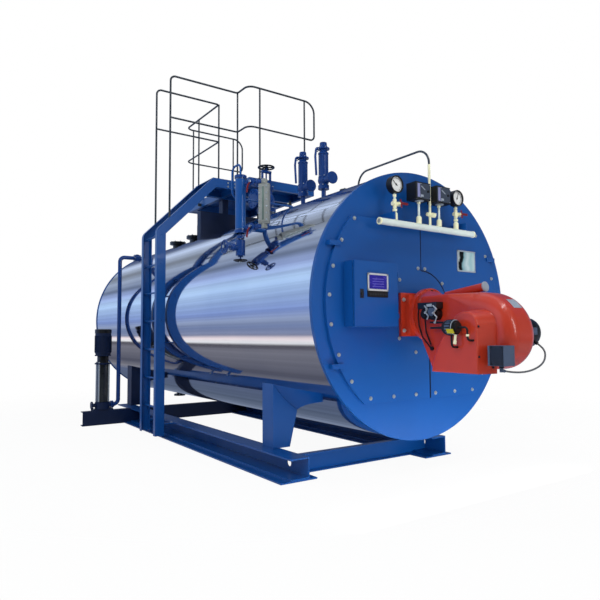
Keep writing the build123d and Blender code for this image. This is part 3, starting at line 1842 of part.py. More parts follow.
feed_points = (
    (-pump_x, pump_y, pump_port_z),
    (-feed_x, pump_y, pump_port_z),
    (-feed_x, pump_y, feed_z),
    (-clad_side(feed_z) + root_depth, pump_y, feed_z),
)
feed = round_bar(feed_points, feed_r, feed_bend)
check = turned((-check_x, pump_y, feed_z), (1, 0, 0), check_steps)
with BuildPart() as feed_pipe:
    add(feed)
    add(check)
    add(shell_space, mode=Mode.SUBTRACT)
    add(pump.part, mode=Mode.SUBTRACT)
save(feed_pipe.part, "feed_pipe")
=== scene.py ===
# %% [markdown]
# # A steam boiler on its skid
#
# The construction model already holds every tube, plate and valve at its real size.
# This script gives those pieces their surfaces and adds what makes them look made:
# bolts, gauge faces, fins, hoses and bezels. Everything is in metres, in the model's own frame.

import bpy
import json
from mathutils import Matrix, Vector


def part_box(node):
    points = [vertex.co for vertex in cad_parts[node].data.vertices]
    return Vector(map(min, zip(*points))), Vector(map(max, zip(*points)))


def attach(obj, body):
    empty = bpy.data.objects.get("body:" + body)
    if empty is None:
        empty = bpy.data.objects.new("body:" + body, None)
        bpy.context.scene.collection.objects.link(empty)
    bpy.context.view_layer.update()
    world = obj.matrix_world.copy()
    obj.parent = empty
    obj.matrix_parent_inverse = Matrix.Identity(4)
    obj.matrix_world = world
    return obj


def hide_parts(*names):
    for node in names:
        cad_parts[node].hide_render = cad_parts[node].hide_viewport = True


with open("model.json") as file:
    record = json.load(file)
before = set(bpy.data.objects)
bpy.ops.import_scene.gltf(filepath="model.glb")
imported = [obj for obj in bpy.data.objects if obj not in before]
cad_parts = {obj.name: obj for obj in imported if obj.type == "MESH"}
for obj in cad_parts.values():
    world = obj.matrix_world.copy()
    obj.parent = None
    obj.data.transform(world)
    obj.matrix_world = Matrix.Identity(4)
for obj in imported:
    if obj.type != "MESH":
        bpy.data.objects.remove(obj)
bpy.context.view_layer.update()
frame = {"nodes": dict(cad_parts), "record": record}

import json
import math

import bmesh
import bpy
from mathutils import Matrix, Vector

scene = bpy.context.scene
nodes = frame["nodes"]
root = "boiler"

# %% [markdown]
# ## Colours and shader helpers
#
# A colour picker shows sRGB, while a shader works in linear light. One function turns a hex
# colour into linear values, so each paint can be written down the way it is seen.
# A second small function adds a node with its settings and links in one call, and a third
# draws noise at a size that is measured in millimetres on the real thing.

# %% Helper functions
# noise mostly stays between these two values, so they are stretched to a pattern's full range
noise_low, noise_high = 0.3, 0.7


def lin(code):
    """Hex colour to the linear values that a shader wants."""
    parts = [int(code[i:i + 2], 16) / 255 for i in (1, 3, 5)]
    return [c / 12.92 if c <= 0.04045 else ((c + 0.055) / 1.055) ** 2.4 for c in parts] + [1.0]


def add(tree, kind, links=None, settings=None, numbered=None, **values):
    """Add a node, set its properties and its inputs by number or name, and link its inputs."""
    node = tree.nodes.new(kind)
    for key, value in (settings or {}).items():
        setattr(node, key, value)
    for index, value in (numbered or {}).items():
        node.inputs[index].default_value = value
    for key, value in values.items():
        found = [s for s in node.inputs if s.enabled and s.name.replace(" ", "_") == key]
        found[0].default_value = value
    for key, source in (links or {}).items():
        named = [s for s in node.inputs if s.enabled and s.name == key]
        tree.links.new(source, node.inputs[key] if isinstance(key, int) else named[0])
    return node


def mottle(tree, size_mm, detail=3.0):
    """Noise whose patches are about size_mm across on the real thing."""
    place = add(tree, "ShaderNodeTexCoord")
    scaled = add(
        tree, "ShaderNodeVectorMath", {0: place.outputs["Object"]}, {"operation": "SCALE"},
        Scale=1000.0 / size_mm)
    patches = add(
        tree, "ShaderNodeTexNoise", {"Vector": scaled.outputs[0]},
        Scale=1.0, Detail=detail, Roughness=0.5)
    return patches.outputs["Fac"]


def blank_material(name):
    """A material with an empty tree: the material, its tree and its output node."""
    made = bpy.data.materials.new(name)
    made.use_nodes = True
    made.node_tree.nodes.clear()
    return made, made.node_tree, add(made.node_tree, "ShaderNodeOutputMaterial")


def set_stops(ramp, stops):
    """Give a colour ramp its places and hex colours."""
    while len(ramp.elements) < len(stops):
        ramp.elements.new(0.5)
    for element, (where_at, code) in zip(ramp.elements, stops):
        element.position = where_at
        element.color = lin(code)


print("colour check", [round(c, 4) for c in lin("#808080")])

# %% [markdown]
# ## One surface for most pieces
#
# No paint is one flat colour. Its tone drifts slowly over a panel, its gloss is uneven, and a
# fine grain breaks up the highlight. Edges are never knife sharp, so a small bevel in the shader
# rounds them where the light catches. One function makes all of that, because paint, plastic
# and cast metal differ only in these sizes.

# %% The surface function
def surface(name, color, rough, metal=0.0, coat=0.0, vary=0.06, vary_mm=350.0,
            grain_mm=2.0, grain_depth=0.00003, rough_span=0.08, edge_mm=0.0):
    """A procedural surface: slow colour change, uneven gloss, fine relief and soft edges."""
    made, tree, out = blank_material(name)
    shader = add(
        tree, "ShaderNodeBsdfPrincipled",
        Metallic=metal, IOR=1.5, Coat_Weight=coat, Coat_Roughness=0.08)
    base = lin(color)
    dark = [c * (1 - vary) for c in base[:3]] + [1.0]
    light = [min(1.0, c * (1 + vary)) for c in base[:3]] + [1.0]
    slow = add(
        tree, "ShaderNodeMapRange", {"Value": mottle(tree, vary_mm)},
        From_Min=noise_low, From_Max=noise_high)
    tone = add(
        tree, "ShaderNodeMix", {"Factor": slow.outputs[0]}, {"data_type": "RGBA"}, {6: dark, 7: light})
    tree.links.new(tone.outputs[2], shader.inputs["Base Color"])
    gloss = add(
        tree, "ShaderNodeMapRange", {"Value": mottle(tree, vary_mm / 3)},
        From_Min=noise_low, From_Max=noise_high,
        To_Min=rough - rough_span / 2, To_Max=rough + rough_span / 2)
    tree.links.new(gloss.outputs[0], shader.inputs["Roughness"])
    relief = add(
        tree, "ShaderNodeBump", {"Height": mottle(tree, grain_mm, 2.0)},
        Strength=0.6, Distance=grain_depth)
    if edge_mm > 0:
        soft = add(tree, "ShaderNodeBevel", None, {"samples": 4}, Radius=edge_mm / 1000)
        tree.links.new(soft.outputs[0], relief.inputs["Normal"])
    tree.links.new(relief.outputs[0], shader.inputs["Normal"])
    tree.links.new(shader.outputs[0], out.inputs["Surface"])
    return made


print("surface helper ready")

# %% [markdown]
# ## Paints
#
# Plate and channel are sprayed with gloss enamel, castings are brushed with a darker coat, and
# the burner is stoved. A picture of paint could be wrapped on, but it would stretch on curved
# castings, so the function above draws each paint from sizes. The coat weight sets how clearly it
# mirrors the lamps, and the grain is the orange peel of a sprayed coat, 1 to 2 mm across.

# %% Paints
# sprayed gloss enamel on plate: an even blue with a soft shine
blue_enamel = surface(
    "blue_gloss_enamel", "#0d509c", 0.30, coat=0.20, vary=0.03,
    grain_mm=1.6, grain_depth=0.00002, rough_span=0.02, edge_mm=2.5)
# enamel brushed on castings: darker, and the sand grain shows through
navy_enamel = surface(
    "navy_casting_enamel", "#0d3c84", 0.30, coat=0.25, vary=0.08,
    grain_mm=1.2, grain_depth=0.00008, edge_mm=2.0)
# painted shade: a dull, nearly black blue for the parts that stand in the shade
painted_shade_blue = surface("dark_blue_primer", "#0a2148", 0.5, vary=0.12, grain_mm=1.6, edge_mm=2.0)
# a thin coat on drawn tube: smooth, with a narrow highlight
rail_paint = surface("grey_rail_paint", "#353c42", 0.34, coat=0.2, vary=0.12, vary_mm=120)
# stoved paint on cast aluminium: glossy, so that the dome catches the window
orange_paint = surface(
    "orange_cast_aluminium_paint", "#c03820", 0.30, coat=0.55, vary=0.04,
    grain_mm=0.9, grain_depth=0.00005, rough_span=0.02, edge_mm=3.0)
# machine enamel: black with a broad sheen
black_enamel = surface(
    "black_enamel", "#101114", 0.32, coat=0.3, vary=0.2,
    grain_mm=1.0, grain_depth=0.00005, edge_mm=1.5)
# cast iron under grey paint: dull, with a coarse skin
cast_grey = surface(
    "grey_painted_casting", "#9a9f9c", 0.5, metal=0.2, vary=0.12, vary_mm=60,
    grain_mm=1.0, grain_depth=0.00012, edge_mm=1.5)
print("paints", len(bpy.data.materials))

# %% [markdown]
# ## Bare metals
#
# Metal has no colour of its own but that of what it mirrors, so roughness matters most here.
# Nickel-plated brass and satin tube mirror a bright room as a pale tone without detail. Their pale base
# colour is that reflection painted in, and a low metallic share gives that tone more steadily than a true
# mirror would.

# %% Bare metals
# nickel-plated brass on turned fittings: creamy, and bright as a painted reflection of a bright room
brass = surface(
    "nickel_brass_fittings", "#fffcd4", 0.32, metal=0.05, vary=0.03, vary_mm=60,
    grain_mm=4.0, grain_depth=0.00001, edge_mm=1.0)
# brushed tube: pale as a painted reflection of a bright room, with one long highlight
cream_tube = surface(
    "brushed_steel_tube", "#effdf6", 0.24, metal=0.15, vary=0.03, vary_mm=90,
    grain_mm=6.0, grain_depth=0.00001)
# drawn steel pipe: dark, with a hard highlight
dark_steel = surface("dark_steel_pipe", "#6b6c6c", 0.30, metal=1.0, vary=0.12, vary_mm=80)
# brushed stainless: bright, with a fine grain that softens its highlight
steel = surface(
    "brushed_stainless", "#c4c8cc", 0.24, metal=1.0, vary=0.06, vary_mm=60,
    grain_mm=0.7, grain_depth=0.00002, edge_mm=1.0)
# zinc plate on fasteners: grey-white and satin
zinc = surface(
    "zinc_plated_steel", "#c4cccf", 0.34, metal=0.6, vary=0.05, vary_mm=30,
    grain_mm=4.0, grain_depth=0.00001)
# anodised aluminium of the screen's frame: pale and even
bezel = surface("silver_bezel", "#dfe2e6", 0.35, metal=0.4, vary=0.04, vary_mm=60)
print("with metals", len(bpy.data.materials))

# %% [markdown]
# ## Plastics, rubber and glass
#
# Moulded plastic is matt, because the mould is blasted, and rubber is duller still. The dials are
# enamelled sheet under clear covers, and the screen glows blue behind its glass. It is drawn as
# paint, as a lamp inside would light the cabinet's front.

# %% Plastics, rubber and glass
# black housings: matt, with a fine blasted grain
black_plastic = surface(
    "black_moulded_plastic", "#131416", 0.5, vary=0.15, grain_mm=0.6,
    grain_depth=0.00005, edge_mm=1.5)
# fronts of the pressure switches: dark slate that lifts them from their black sides
slate_plastic = surface(
    "slate_switch_plastic", "#3c4656", 0.40, vary=0.08, grain_mm=0.6, edge_mm=1.0)
# lids and lock plate: near black with a blue cast
navy_plastic = surface(
    "dark_navy_plastic", "#18202e", 0.42, vary=0.12, grain_mm=0.6, edge_mm=1.0)
# terminal box: mid grey
grey_plastic = surface(
    "grey_moulded_plastic", "#485872", 0.45, vary=0.08, grain_mm=0.6,
    grain_depth=0.00004, edge_mm=1.0)
# the printed scale of a switch, without its print: a flat lilac strip
lilac_plastic = surface("lilac_scale_plate", "#8b8fc0", 0.4, vary=0.06, vary_mm=30)
# bare plates and caps: pale and satin
pale_plastic = surface("pale_grey_plastic", "#9aa6b4", 0.4, vary=0.06, vary_mm=30, grain_mm=0.6)
# keys under the screen: a shade lighter than what they sit in
key_plastic = surface("dark_key_plastic", "#262b33", 0.4, vary=0.1, vary_mm=20)
# the air switch's plate: dull yellow foil
yellow_plate = surface("yellow_plate", "#b9b21c", 0.4, vary=0.08, vary_mm=10)
# dipped sleeves on the cock levers: deep red and smooth
red_lever = surface("red_lever_sleeve", "#7c1018", 0.38, coat=0.3, vary=0.1, vary_mm=20)
# cable sheath: grey and faintly waxy
cable_sheath = surface("grey_cable_sheath", "#63666a", 0.45, vary=0.08, vary_mm=40, grain_mm=0.8)
# hose rubber: black, with only a dim highlight
rubber = surface("black_hose_rubber", "#0e0f10", 0.5, vary=0.15, vary_mm=20, grain_mm=0.8)
# door seal and gaskets: made the darkest of all, partly as painted shade of the gap they fill
seal_and_gap_shade = surface("dark_seal", "#05081a", 0.6, vary=0.2, vary_mm=30)
# the display and its lines: violet-blue under glass
screen_glass = surface("screen_glass", "#2b2496", 0.25, coat=0.3, vary=0.15, vary_mm=90)
screen_lines = surface("screen_lines", "#5a52c0", 0.3, vary=0.1, vary_mm=20)
# the dial's white enamel and its ink
white_dial = surface("white_dial_enamel", "#eef0ee", 0.3, vary=0.02, vary_mm=20)
dial_ink = surface("black_dial_ink", "#101113", 0.5, vary=0.1, vary_mm=5)
# the level gauge's glass: greenish grey, with a sharp highlight
water_glass = surface("gauge_glass", "#6d8078", 0.08, coat=0.5, vary=0.2, vary_mm=120)
print("plain surfaces", len(bpy.data.materials))

# %% [markdown]
# ## The mirror cladding
#
# Thin stainless sheet is rolled round the boiler, so its waves run lengthways: short across the
# curve and long along the axis. Fine brushing runs the same way. Real dents in the mesh would
# need very many faces, so noise bends only the shading. A faint blue-grey tarnish keeps the
# sheet from looking like chrome.

# %% Mirror sheet
wave_across, wave_along = 0.34, 2.1
brush_across, brush_along = 0.003, 0.3
mirror, tree, out = blank_material("mirror_stainless_sheet")
sheet = add(tree, "ShaderNodeBsdfPrincipled", Metallic=1.0)
place = add(tree, "ShaderNodeTexCoord")
long_way = add(
    tree, "ShaderNodeVectorMath", {0: place.outputs["Object"]}, {"operation": "MULTIPLY"},
    {1: (1 / wave_across, 1 / wave_along, 1 / wave_across)})
waves = add(
    tree, "ShaderNodeTexNoise", {"Vector": long_way.outputs[0]}, Scale=1.0, Detail=1.0, Roughness=0.4)
brush_way = add(
    tree, "ShaderNodeVectorMath", {0: place.outputs["Object"]}, {"operation": "MULTIPLY"},
    {1: (1 / brush_across, 1 / brush_along, 1 / brush_across)})
brushing = add(
    tree, "ShaderNodeTexNoise", {"Vector": brush_way.outputs[0]}, Scale=1.0, Detail=2.0, Roughness=0.5)
tarnish = add(
    tree, "ShaderNodeMapRange", {"Value": mottle(tree, 700.0)},
    From_Min=noise_low, From_Max=noise_high)
tone = add(
    tree, "ShaderNodeMix", {"Factor": tarnish.outputs[0]}, {"data_type": "RGBA"},
    {6: lin("#e2e6ee"), 7: lin("#eceef3")})
tree.links.new(tone.outputs[2], sheet.inputs["Base Color"])
gloss = add(
    tree, "ShaderNodeMapRange", {"Value": brushing.outputs["Fac"]},
    From_Min=noise_low, From_Max=noise_high, To_Min=0.035, To_Max=0.085)
tree.links.new(gloss.outputs[0], sheet.inputs["Roughness"])
relief = add(
    tree, "ShaderNodeBump", {"Height": waves.outputs["Fac"]}, Strength=0.7, Distance=0.0035)
tree.links.new(relief.outputs[0], sheet.inputs["Normal"])
tree.links.new(sheet.outputs[0], out.inputs["Surface"])
print("waves every", wave_across, "m across and", wave_along, "m along")

# %% [markdown]
# ## The bare plate
#
# The plate on the right leaf is mirror sheet too, and shows one dark upright between pale ones.
# A true mirror would need a built room to face. Here a ramp across the plate is a painted reflection of
# that picture, and noise bends it as thin sheet bends a straight line.

# %% Bare plate
plate_low, plate_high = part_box("nameplate")
bend_width = 0.10
plate_sheet, tree, out = blank_material("mirror_name_plate")
shine = add(tree, "ShaderNodeBsdfPrincipled", Metallic=0.35, Roughness=0.16)
place = add(tree, "ShaderNodeTexCoord")
across = add(tree, "ShaderNodeSeparateXYZ", {0: place.outputs["Object"]})
wobble = add(
    tree, "ShaderNodeMath", {0: mottle(tree, 110.0, 2.0), 2: across.outputs["X"]},
    {"operation": "MULTIPLY_ADD"}, {1: bend_width})
share = add(
    tree, "ShaderNodeMapRange", {"Value": wobble.outputs[0]},
    From_Min=plate_low.x + bend_width / 2, From_Max=plate_high.x + bend_width / 2)
# painted reflection: the ramp puts a mirrored room into the plate's colour, pale, then one dark upright,
# then pale again
painted_reflection = add(tree, "ShaderNodeValToRGB", {0: share.outputs[0]})
set_stops(painted_reflection.color_ramp, [
    (0.00, "#e8f4f6"), (0.07, "#d0e0e4"), (0.11, "#12181c"), (0.24, "#1a2024"),
    (0.32, "#9ccdd8"), (0.55, "#e6fbff"), (0.75, "#b8e4ea"), (1.00, "#e0f8fa")])
tree.links.new(painted_reflection.outputs[0], shine.inputs["Base Color"])
tree.links.new(shine.outputs[0], out.inputs["Surface"])
print("plate width", round(plate_high.x - plate_low.x, 4))

# %% [markdown]
# ## Dressing the construction model
#
# Each construction piece has a slot name that says what it is made of. A table turns the slot
# into a surface. A few pieces differ from the rest of their slot, and a second table names them.

# %% Give every node its surface
made_of = {
    "mirror_cladding": mirror, "blue_paint": blue_enamel, "valve_blue": navy_enamel,
    "motor_blue": navy_enamel, "bare_steel": steel, "cast_grey": cast_grey,
    "burner_orange": orange_paint, "black_paint": black_enamel, "black_plastic": black_plastic,
    "galvanised": zinc, "screen_glass": screen_glass, "brass": brass,
    "cable_grey": cable_sheath, "rail_grey": rail_paint,
}
slot_of = {row["node"]: row["material_slot"] for row in frame["record"]["subparts"]}
for name, node in nodes.items():
    node.data.materials.clear()
    node.data.materials.append(made_of[slot_of[name]])
# the deck supports, the feed pump and its motor, the rear cross member and the rear saddle take the
# painted shade blue, as they stand in the shade
for name, finish in (
    ("siphon_pipe", dark_steel), ("gauge_manifold", cream_tube), ("nameplate", plate_sheet),
    ("burner_terminal_box", grey_plastic), ("platform_supports", painted_shade_blue),
    ("column_drain", navy_enamel), ("drain_wheel_side", navy_enamel), ("gauge_cocks", navy_enamel),
    ("cabinet_screen", black_plastic), ("feed_pipe", navy_enamel), ("feed_pump", painted_shade_blue),
    ("feed_pump_motor", painted_shade_blue), ("cross_member_rear", painted_shade_blue),
    ("saddle_rear", painted_shade_blue),
):
    nodes[name].data.materials[0] = finish
print("materials", len(bpy.data.materials))

# %% [markdown]
# ## Geometry Nodes for what repeats
#
# Bolts, fins and dial marks are one small shape put down many times, and hoses are one round
# section drawn along a path. A node tree says that once. The tree's result is then stored as a
# plain mesh, so nothing depends on the modifier afterwards.

# %% Make a tree and keep its result
def new_tree(name, sockets):
    """A Geometry Nodes tree with named inputs."""
    tree = bpy.data.node_groups.new(name, "GeometryNodeTree")
    tree.interface.new_socket(name="Geometry", in_out="INPUT", socket_type="NodeSocketGeometry")
    for label, kind in sockets:
        tree.interface.new_socket(name=label, in_out="INPUT", socket_type="NodeSocket" + kind)
    tree.interface.new_socket(name="Geometry", in_out="OUTPUT", socket_type="NodeSocketGeometry")
    return tree, add(tree, "NodeGroupInput").outputs, add(tree, "NodeGroupOutput")


def paint_result(tree, shape, given, result):
    """End a tree: set the material on its shape and hand it out."""
    painted = add(tree, "GeometryNodeSetMaterial", {"Geometry": shape, "Material": given["Material"]})
    tree.links.new(painted.outputs[0], result.inputs[0])


def bake(name, tree, points, edges, values, body=root):
    """Run a tree on points and edges, keep its result as a plain mesh and let it ride."""
    seed = bpy.data.meshes.new(name + "_points")
    seed.from_pydata([tuple(p) for p in points], edges, [])
    obj = bpy.data.objects.new(name, seed)
    scene.collection.objects.link(obj)
    modifier = obj.modifiers.new("nodes", "NODES")
    modifier.node_group = tree
    for item in tree.interface.items_tree:
        if item.in_out == "INPUT" and item.name in values:
            modifier[item.identifier] = values[item.name]
    bpy.context.view_layer.update()
    ready = obj.evaluated_get(bpy.context.evaluated_depsgraph_get())
    mesh = bpy.data.meshes.new_from_object(ready)
    obj.modifiers.remove(modifier)
    obj.data = mesh
    if not mesh.materials:
        mesh.materials.append(values["Material"])
    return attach(obj, body)


print("tree helpers ready")

# %% [markdown]
# ## A fastener on every point
#
# A hexagon head stands on a round washer, and a short cone on top gives the chamfer that makes
# a bolt look like a bolt. The tree builds one and puts it on each point, turned one way.

# %% Fastener tree
bolts, given, result = new_tree("bolts_on_points", [
    ("Head Radius", "Float"), ("Head Height", "Float"), ("Washer Radius", "Float"),
    ("Turn", "Vector"), ("Material", "Material")])
washer_t, chamfer_radius_share, chamfer_height_share = 0.0025, 0.82, 0.18
washer = add(
    bolts, "GeometryNodeMeshCylinder", {"Radius": given["Washer Radius"]}, Vertices=24, Depth=washer_t)
washer_up = add(
    bolts, "GeometryNodeTransform", {"Geometry": washer.outputs["Mesh"]},
    Translation=(0, 0, washer_t / 2))
head = add(
    bolts, "GeometryNodeMeshCylinder",
    {"Radius": given["Head Radius"], "Depth": given["Head Height"]}, Vertices=6)
half_up = add(
    bolts, "ShaderNodeMath", {0: given["Head Height"]}, {"operation": "MULTIPLY_ADD"},
    {1: 0.5, 2: washer_t})
half_place = add(bolts, "ShaderNodeCombineXYZ", {"Z": half_up.outputs[0]})
head_up = add(
    bolts, "GeometryNodeTransform",
    {"Geometry": head.outputs["Mesh"], "Translation": half_place.outputs[0]})
cap_top = add(
    bolts, "ShaderNodeMath", {0: given["Head Radius"]}, {"operation": "MULTIPLY"},
    {1: chamfer_radius_share})
cap_h = add(
    bolts, "ShaderNodeMath", {0: given["Head Height"]}, {"operation": "MULTIPLY"},
    {1: chamfer_height_share})
cap = add(
    bolts, "GeometryNodeMeshCone",
    {"Radius Top": cap_top.outputs[0], "Radius Bottom": given["Head Radius"],
     "Depth": cap_h.outputs[0]}, Vertices=6)
full_up = add(
    bolts, "ShaderNodeMath", {0: given["Head Height"]}, {"operation": "ADD"}, {1: washer_t})
full_place = add(bolts, "ShaderNodeCombineXYZ", {"Z": full_up.outputs[0]})
cap_up = add(
    bolts, "GeometryNodeTransform",
    {"Geometry": cap.outputs["Mesh"], "Translation": full_place.outputs[0]})
fastener = add(bolts, "GeometryNodeJoinGeometry")
for part in (washer_up, head_up, cap_up):
    bolts.links.new(part.outputs[0], fastener.inputs[0])
spread = add(
    bolts, "GeometryNodeInstanceOnPoints",
    {"Points": given["Geometry"], "Instance": fastener.outputs[0], "Rotation": given["Turn"]})
real = add(bolts, "GeometryNodeRealizeInstances", {"Geometry": spread.outputs[0]})
paint_result(bolts, real.outputs[0], given, result)

# the turns that point a fastener's axis along each direction
quarter = math.pi / 2
toward = {
    "-y": (quarter, 0, 0), "+y": (-quarter, 0, 0), "+z": (0, 0, 0), "-z": (math.pi, 0, 0),
    "-x": (0, -quarter, 0), "+x": (0, quarter, 0),
}


def bolt_up(name, points, facing, head=0.011, height=0.009, washer=0.014, finish=zinc, body=root):
    """Hex fasteners on a list of points, all facing one way."""
    return bake(name, bolts, points, [], {
        "Head Radius": head, "Head Height": height, "Washer Radius": washer,
        "Turn": toward[facing], "Material": finish}, body)


print("fastener tree nodes", len(bolts.nodes))

# %% [markdown]
# ## A tube along a path
#
# Hoses, link bars and pipes are a circle drawn along a line. The line's corners are rounded first
# by a bend radius, as a bent tube can't turn on the spot.

# %% Tube tree
hose, given, result = new_tree(
    "tube_along_path", [("Radius", "Float"), ("Bend", "Float"), ("Material", "Material")])
line = add(hose, "GeometryNodeMeshToCurve", {"Mesh": given["Geometry"]})
bend = add(
    hose, "GeometryNodeFilletCurve", {"Curve": line.outputs[0], "Radius": given["Bend"]},
    {"mode": "POLY"}, Limit_Radius=True, Count=10)
section = add(hose, "GeometryNodeCurvePrimitiveCircle", {"Radius": given["Radius"]}, Resolution=20)
tube = add(
    hose, "GeometryNodeCurveToMesh",
    {"Curve": bend.outputs[0], "Profile Curve": section.outputs[0]}, Fill_Caps=True)
soft = add(hose, "GeometryNodeSetShadeSmooth", {"Geometry": tube.outputs[0]})
paint_result(hose, soft.outputs[0], given, result)


def run_tube(name, points, radius, bend, finish, body=root):
    """A round tube or hose through the points."""
    chain = [(i, i + 1) for i in range(len(points) - 1)]
    return bake(name, hose, points, chain, {"Radius": radius, "Bend": bend, "Material": finish}, body)


print("tube tree nodes", len(hose.nodes))

# %% [markdown]
# ## Small boxes round a centre
#
# Dial marks, cooling fins and tread bars are thin boxes that all look at one centre. A centre that
# lies far away leaves them side by side, so the same tree also makes rows.

# %% Box tree
boxes, given, result = new_tree("boxes_on_points", [
    ("Size", "Vector"), ("Spin Centre", "Vector"), ("Spin Axis", "Vector"), ("Material", "Material")])
brick = add(boxes, "GeometryNodeMeshCube", {"Size": given["Size"]})
where = add(boxes, "GeometryNodeInputPosition")
away = add(
    boxes, "ShaderNodeVectorMath", {0: where.outputs[0], 1: given["Spin Centre"]},
    {"operation": "SUBTRACT"})
aim = add(
    boxes, "FunctionNodeAxesToRotation",
    {"Primary Axis": given["Spin Axis"], "Secondary Axis": away.outputs[0]},
    {"primary_axis": "Z", "secondary_axis": "X"})
spread = add(
    boxes, "GeometryNodeInstanceOnPoints",
    {"Points": given["Geometry"], "Instance": brick.outputs[0], "Rotation": aim.outputs[0]})
real = add(boxes, "GeometryNodeRealizeInstances", {"Geometry": spread.outputs[0]})
paint_result(boxes, real.outputs[0], given, result)

upward, downward = (0, 0, 1), (0, 0, -1)
forward, backward = (0, -1, 0), (0, 1, 0)
leftward, rightward = (-1, 0, 0), (1, 0, 0)


def put_boxes(name, points, size, centre, axis, finish, body=root):
    """Boxes on points: long side away from the centre, thin side along the axis."""
    return bake(name, boxes, points, [], {
        "Size": size, "Spin Centre": centre, "Spin Axis": axis, "Material": finish}, body)


def circle(centre, radius, count, axis, start=0.0):
    """Evenly spaced points on a circle about an axis named x, y or z."""
    points = []
    for i in range(count):
        a = start + 2 * math.pi * i / count
        u, v = radius * math.cos(a), radius * math.sin(a)
        offset = {"x": (0, u, v), "y": (u, 0, v), "z": (u, v, 0)}[axis]
        points.append(tuple(c + o for c, o in zip(centre, offset)))
    return points


print("node trees", [g.name for g in bpy.data.node_groups])

# %% [markdown]
# ## Solid trim built in mesh code
#
# Bezels, glasses and caps are short solids with soft edges. Two functions make them: one turns
# a profile about an axis, the other makes a box with bevelled edges. A third sets four bars
# round a rectangle.

# %% Mesh builders
def keep(name, mesh, finish, body=root):
    """Link a mesh as a piece with its finish, and let it ride on a body."""
    obj = bpy.data.objects.new(name, mesh)
    scene.collection.objects.link(obj)
    mesh.materials.append(finish)
    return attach(obj, body)


def lathe(name, centre, axis, profile, finish, body=root, count=48):
    """Turn a profile of (radius, distance along the axis) pairs about an axis direction."""
    z = Vector(axis).normalized()
    x = z.orthogonal().normalized()
    y = z.cross(x)
    points, faces = [], []
    for radius, along in profile:
        for i in range(count):
            a = 2 * math.pi * i / count
            spoke = (x * math.cos(a) + y * math.sin(a)) * max(radius, 1e-5)
            points.append(Vector(centre) + z * along + spoke)
    for ring in range(len(profile) - 1):
        for i in range(count):
            j = (i + 1) % count
            a, b = ring * count, (ring + 1) * count
            faces.append((a + i, a + j, b + j, b + i))
    if profile[0] != profile[-1]:
        last = (len(profile) - 1) * count
        faces.append(tuple(reversed(range(count))))
        faces.append(tuple(last + i for i in range(count)))
    mesh = bpy.data.meshes.new(name)
    mesh.from_pydata([tuple(p) for p in points], [], faces)
    for face in mesh.polygons:
        face.use_smooth = len(face.vertices) == 4
    mesh.set_sharp_from_angle(angle=math.radians(35))
    return keep(name, mesh, finish, body)


def slab(name, low, high, finish, body=root, round_edge=0.002, turn=None, about=None):
    """A box between two corners with bevelled edges, turned about a point if wanted."""
    work = bmesh.new()
    bmesh.ops.create_cube(work, size=1.0)
    size = Vector(high) - Vector(low)
    mid = (Vector(high) + Vector(low)) / 2
    bmesh.ops.scale(work, vec=size, verts=work.verts)
    if round_edge:
        bmesh.ops.bevel(
            work, geom=work.edges[:], offset=round_edge, segments=3, profile=0.5, affect="EDGES")
    matrix = Matrix.Translation(mid)
    if turn:
        pivot = Vector(about or mid)
        matrix = Matrix.Translation(pivot) @ turn @ Matrix.Translation(mid - pivot)
    bmesh.ops.transform(work, matrix=matrix, verts=work.verts)
    mesh = bpy.data.meshes.new(name)
    work.to_mesh(mesh)
    work.free()
    for face in mesh.polygons:
        face.use_smooth = True
    mesh.set_sharp_from_angle(angle=math.radians(40))
    return keep(name, mesh, finish, body)


def four_bars(name, corner_a, corner_b, front, proud, width, finish, body, round_edge):
    """Bars round an upright rectangle from corner a to corner b, each an (x, z) pair."""
    (x0, z0), (x1, z1) = corner_a, corner_b
    for label, a, b in (
        ("top", (x0, z1 - width), (x1, z1)),
        ("bottom", (x0, z0), (x1, z0 + width)),
        ("left", (x0, z0), (x0 + width, z1)),
        ("right", (x1 - width, z0), (x1, z1)),
    ):
        near, far = (a[0], front - proud, a[1]), (b[0], front + 0.001, b[1])
        slab("%s_%s" % (name, label), near, far, finish, body, round_edge)


print("builders ready")

# %% [markdown]
# ## Door bolts
#
# The two smoke box leaves are held by bolts near their round edge, a row along the flat bottom
# and a few beside the seam. Only their places differ, so one mesh holds them all.

# %% Door bolts
face_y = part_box("front_plate")[0].y
door_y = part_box("smoke_door_left")[0].y
axis_z, bolt_ring_r, bottom_row_z = 1.334, 0.914, 0.641
door_bolts = []
for angle in (48, 61, 74, 87, 100, 114, 128):
    a = math.radians(angle)
    x, z = bolt_ring_r * math.sin(a), axis_z + bolt_ring_r * math.cos(a)
    door_bolts += [(-x, door_y, z), (x, door_y, z)]
door_bolts += [(x, door_y, bottom_row_z) for x in (-0.545, -0.315, -0.080, 0.138, 0.365, 0.585)]
beside_seam = [
    (-0.034, 1.620), (0.042, 1.620), (-0.236, 1.520), (0.242, 1.513),
    (-0.249, 1.072), (0.255, 1.072), (-0.074, 0.965), (0.150, 0.965)]
door_bolts += [(x, door_y, z) for x, z in beside_seam]
bolt_up("door_bolts", door_bolts, "-y", head=0.010, height=0.007, washer=0.0145)
print("door bolts", len(door_bolts))

# %% [markdown]
# ## Door seal
#
# A dark seal fills the seam between the leaves, and its dark is partly painted shade of the gap. It drops
# from the top, runs on round the burner's opening and leaves it at the bottom, where the gap is wider. A
# groove could be cut, but a tube sunk in the plate until only its crown shows reads as the same dark line
# of shade.

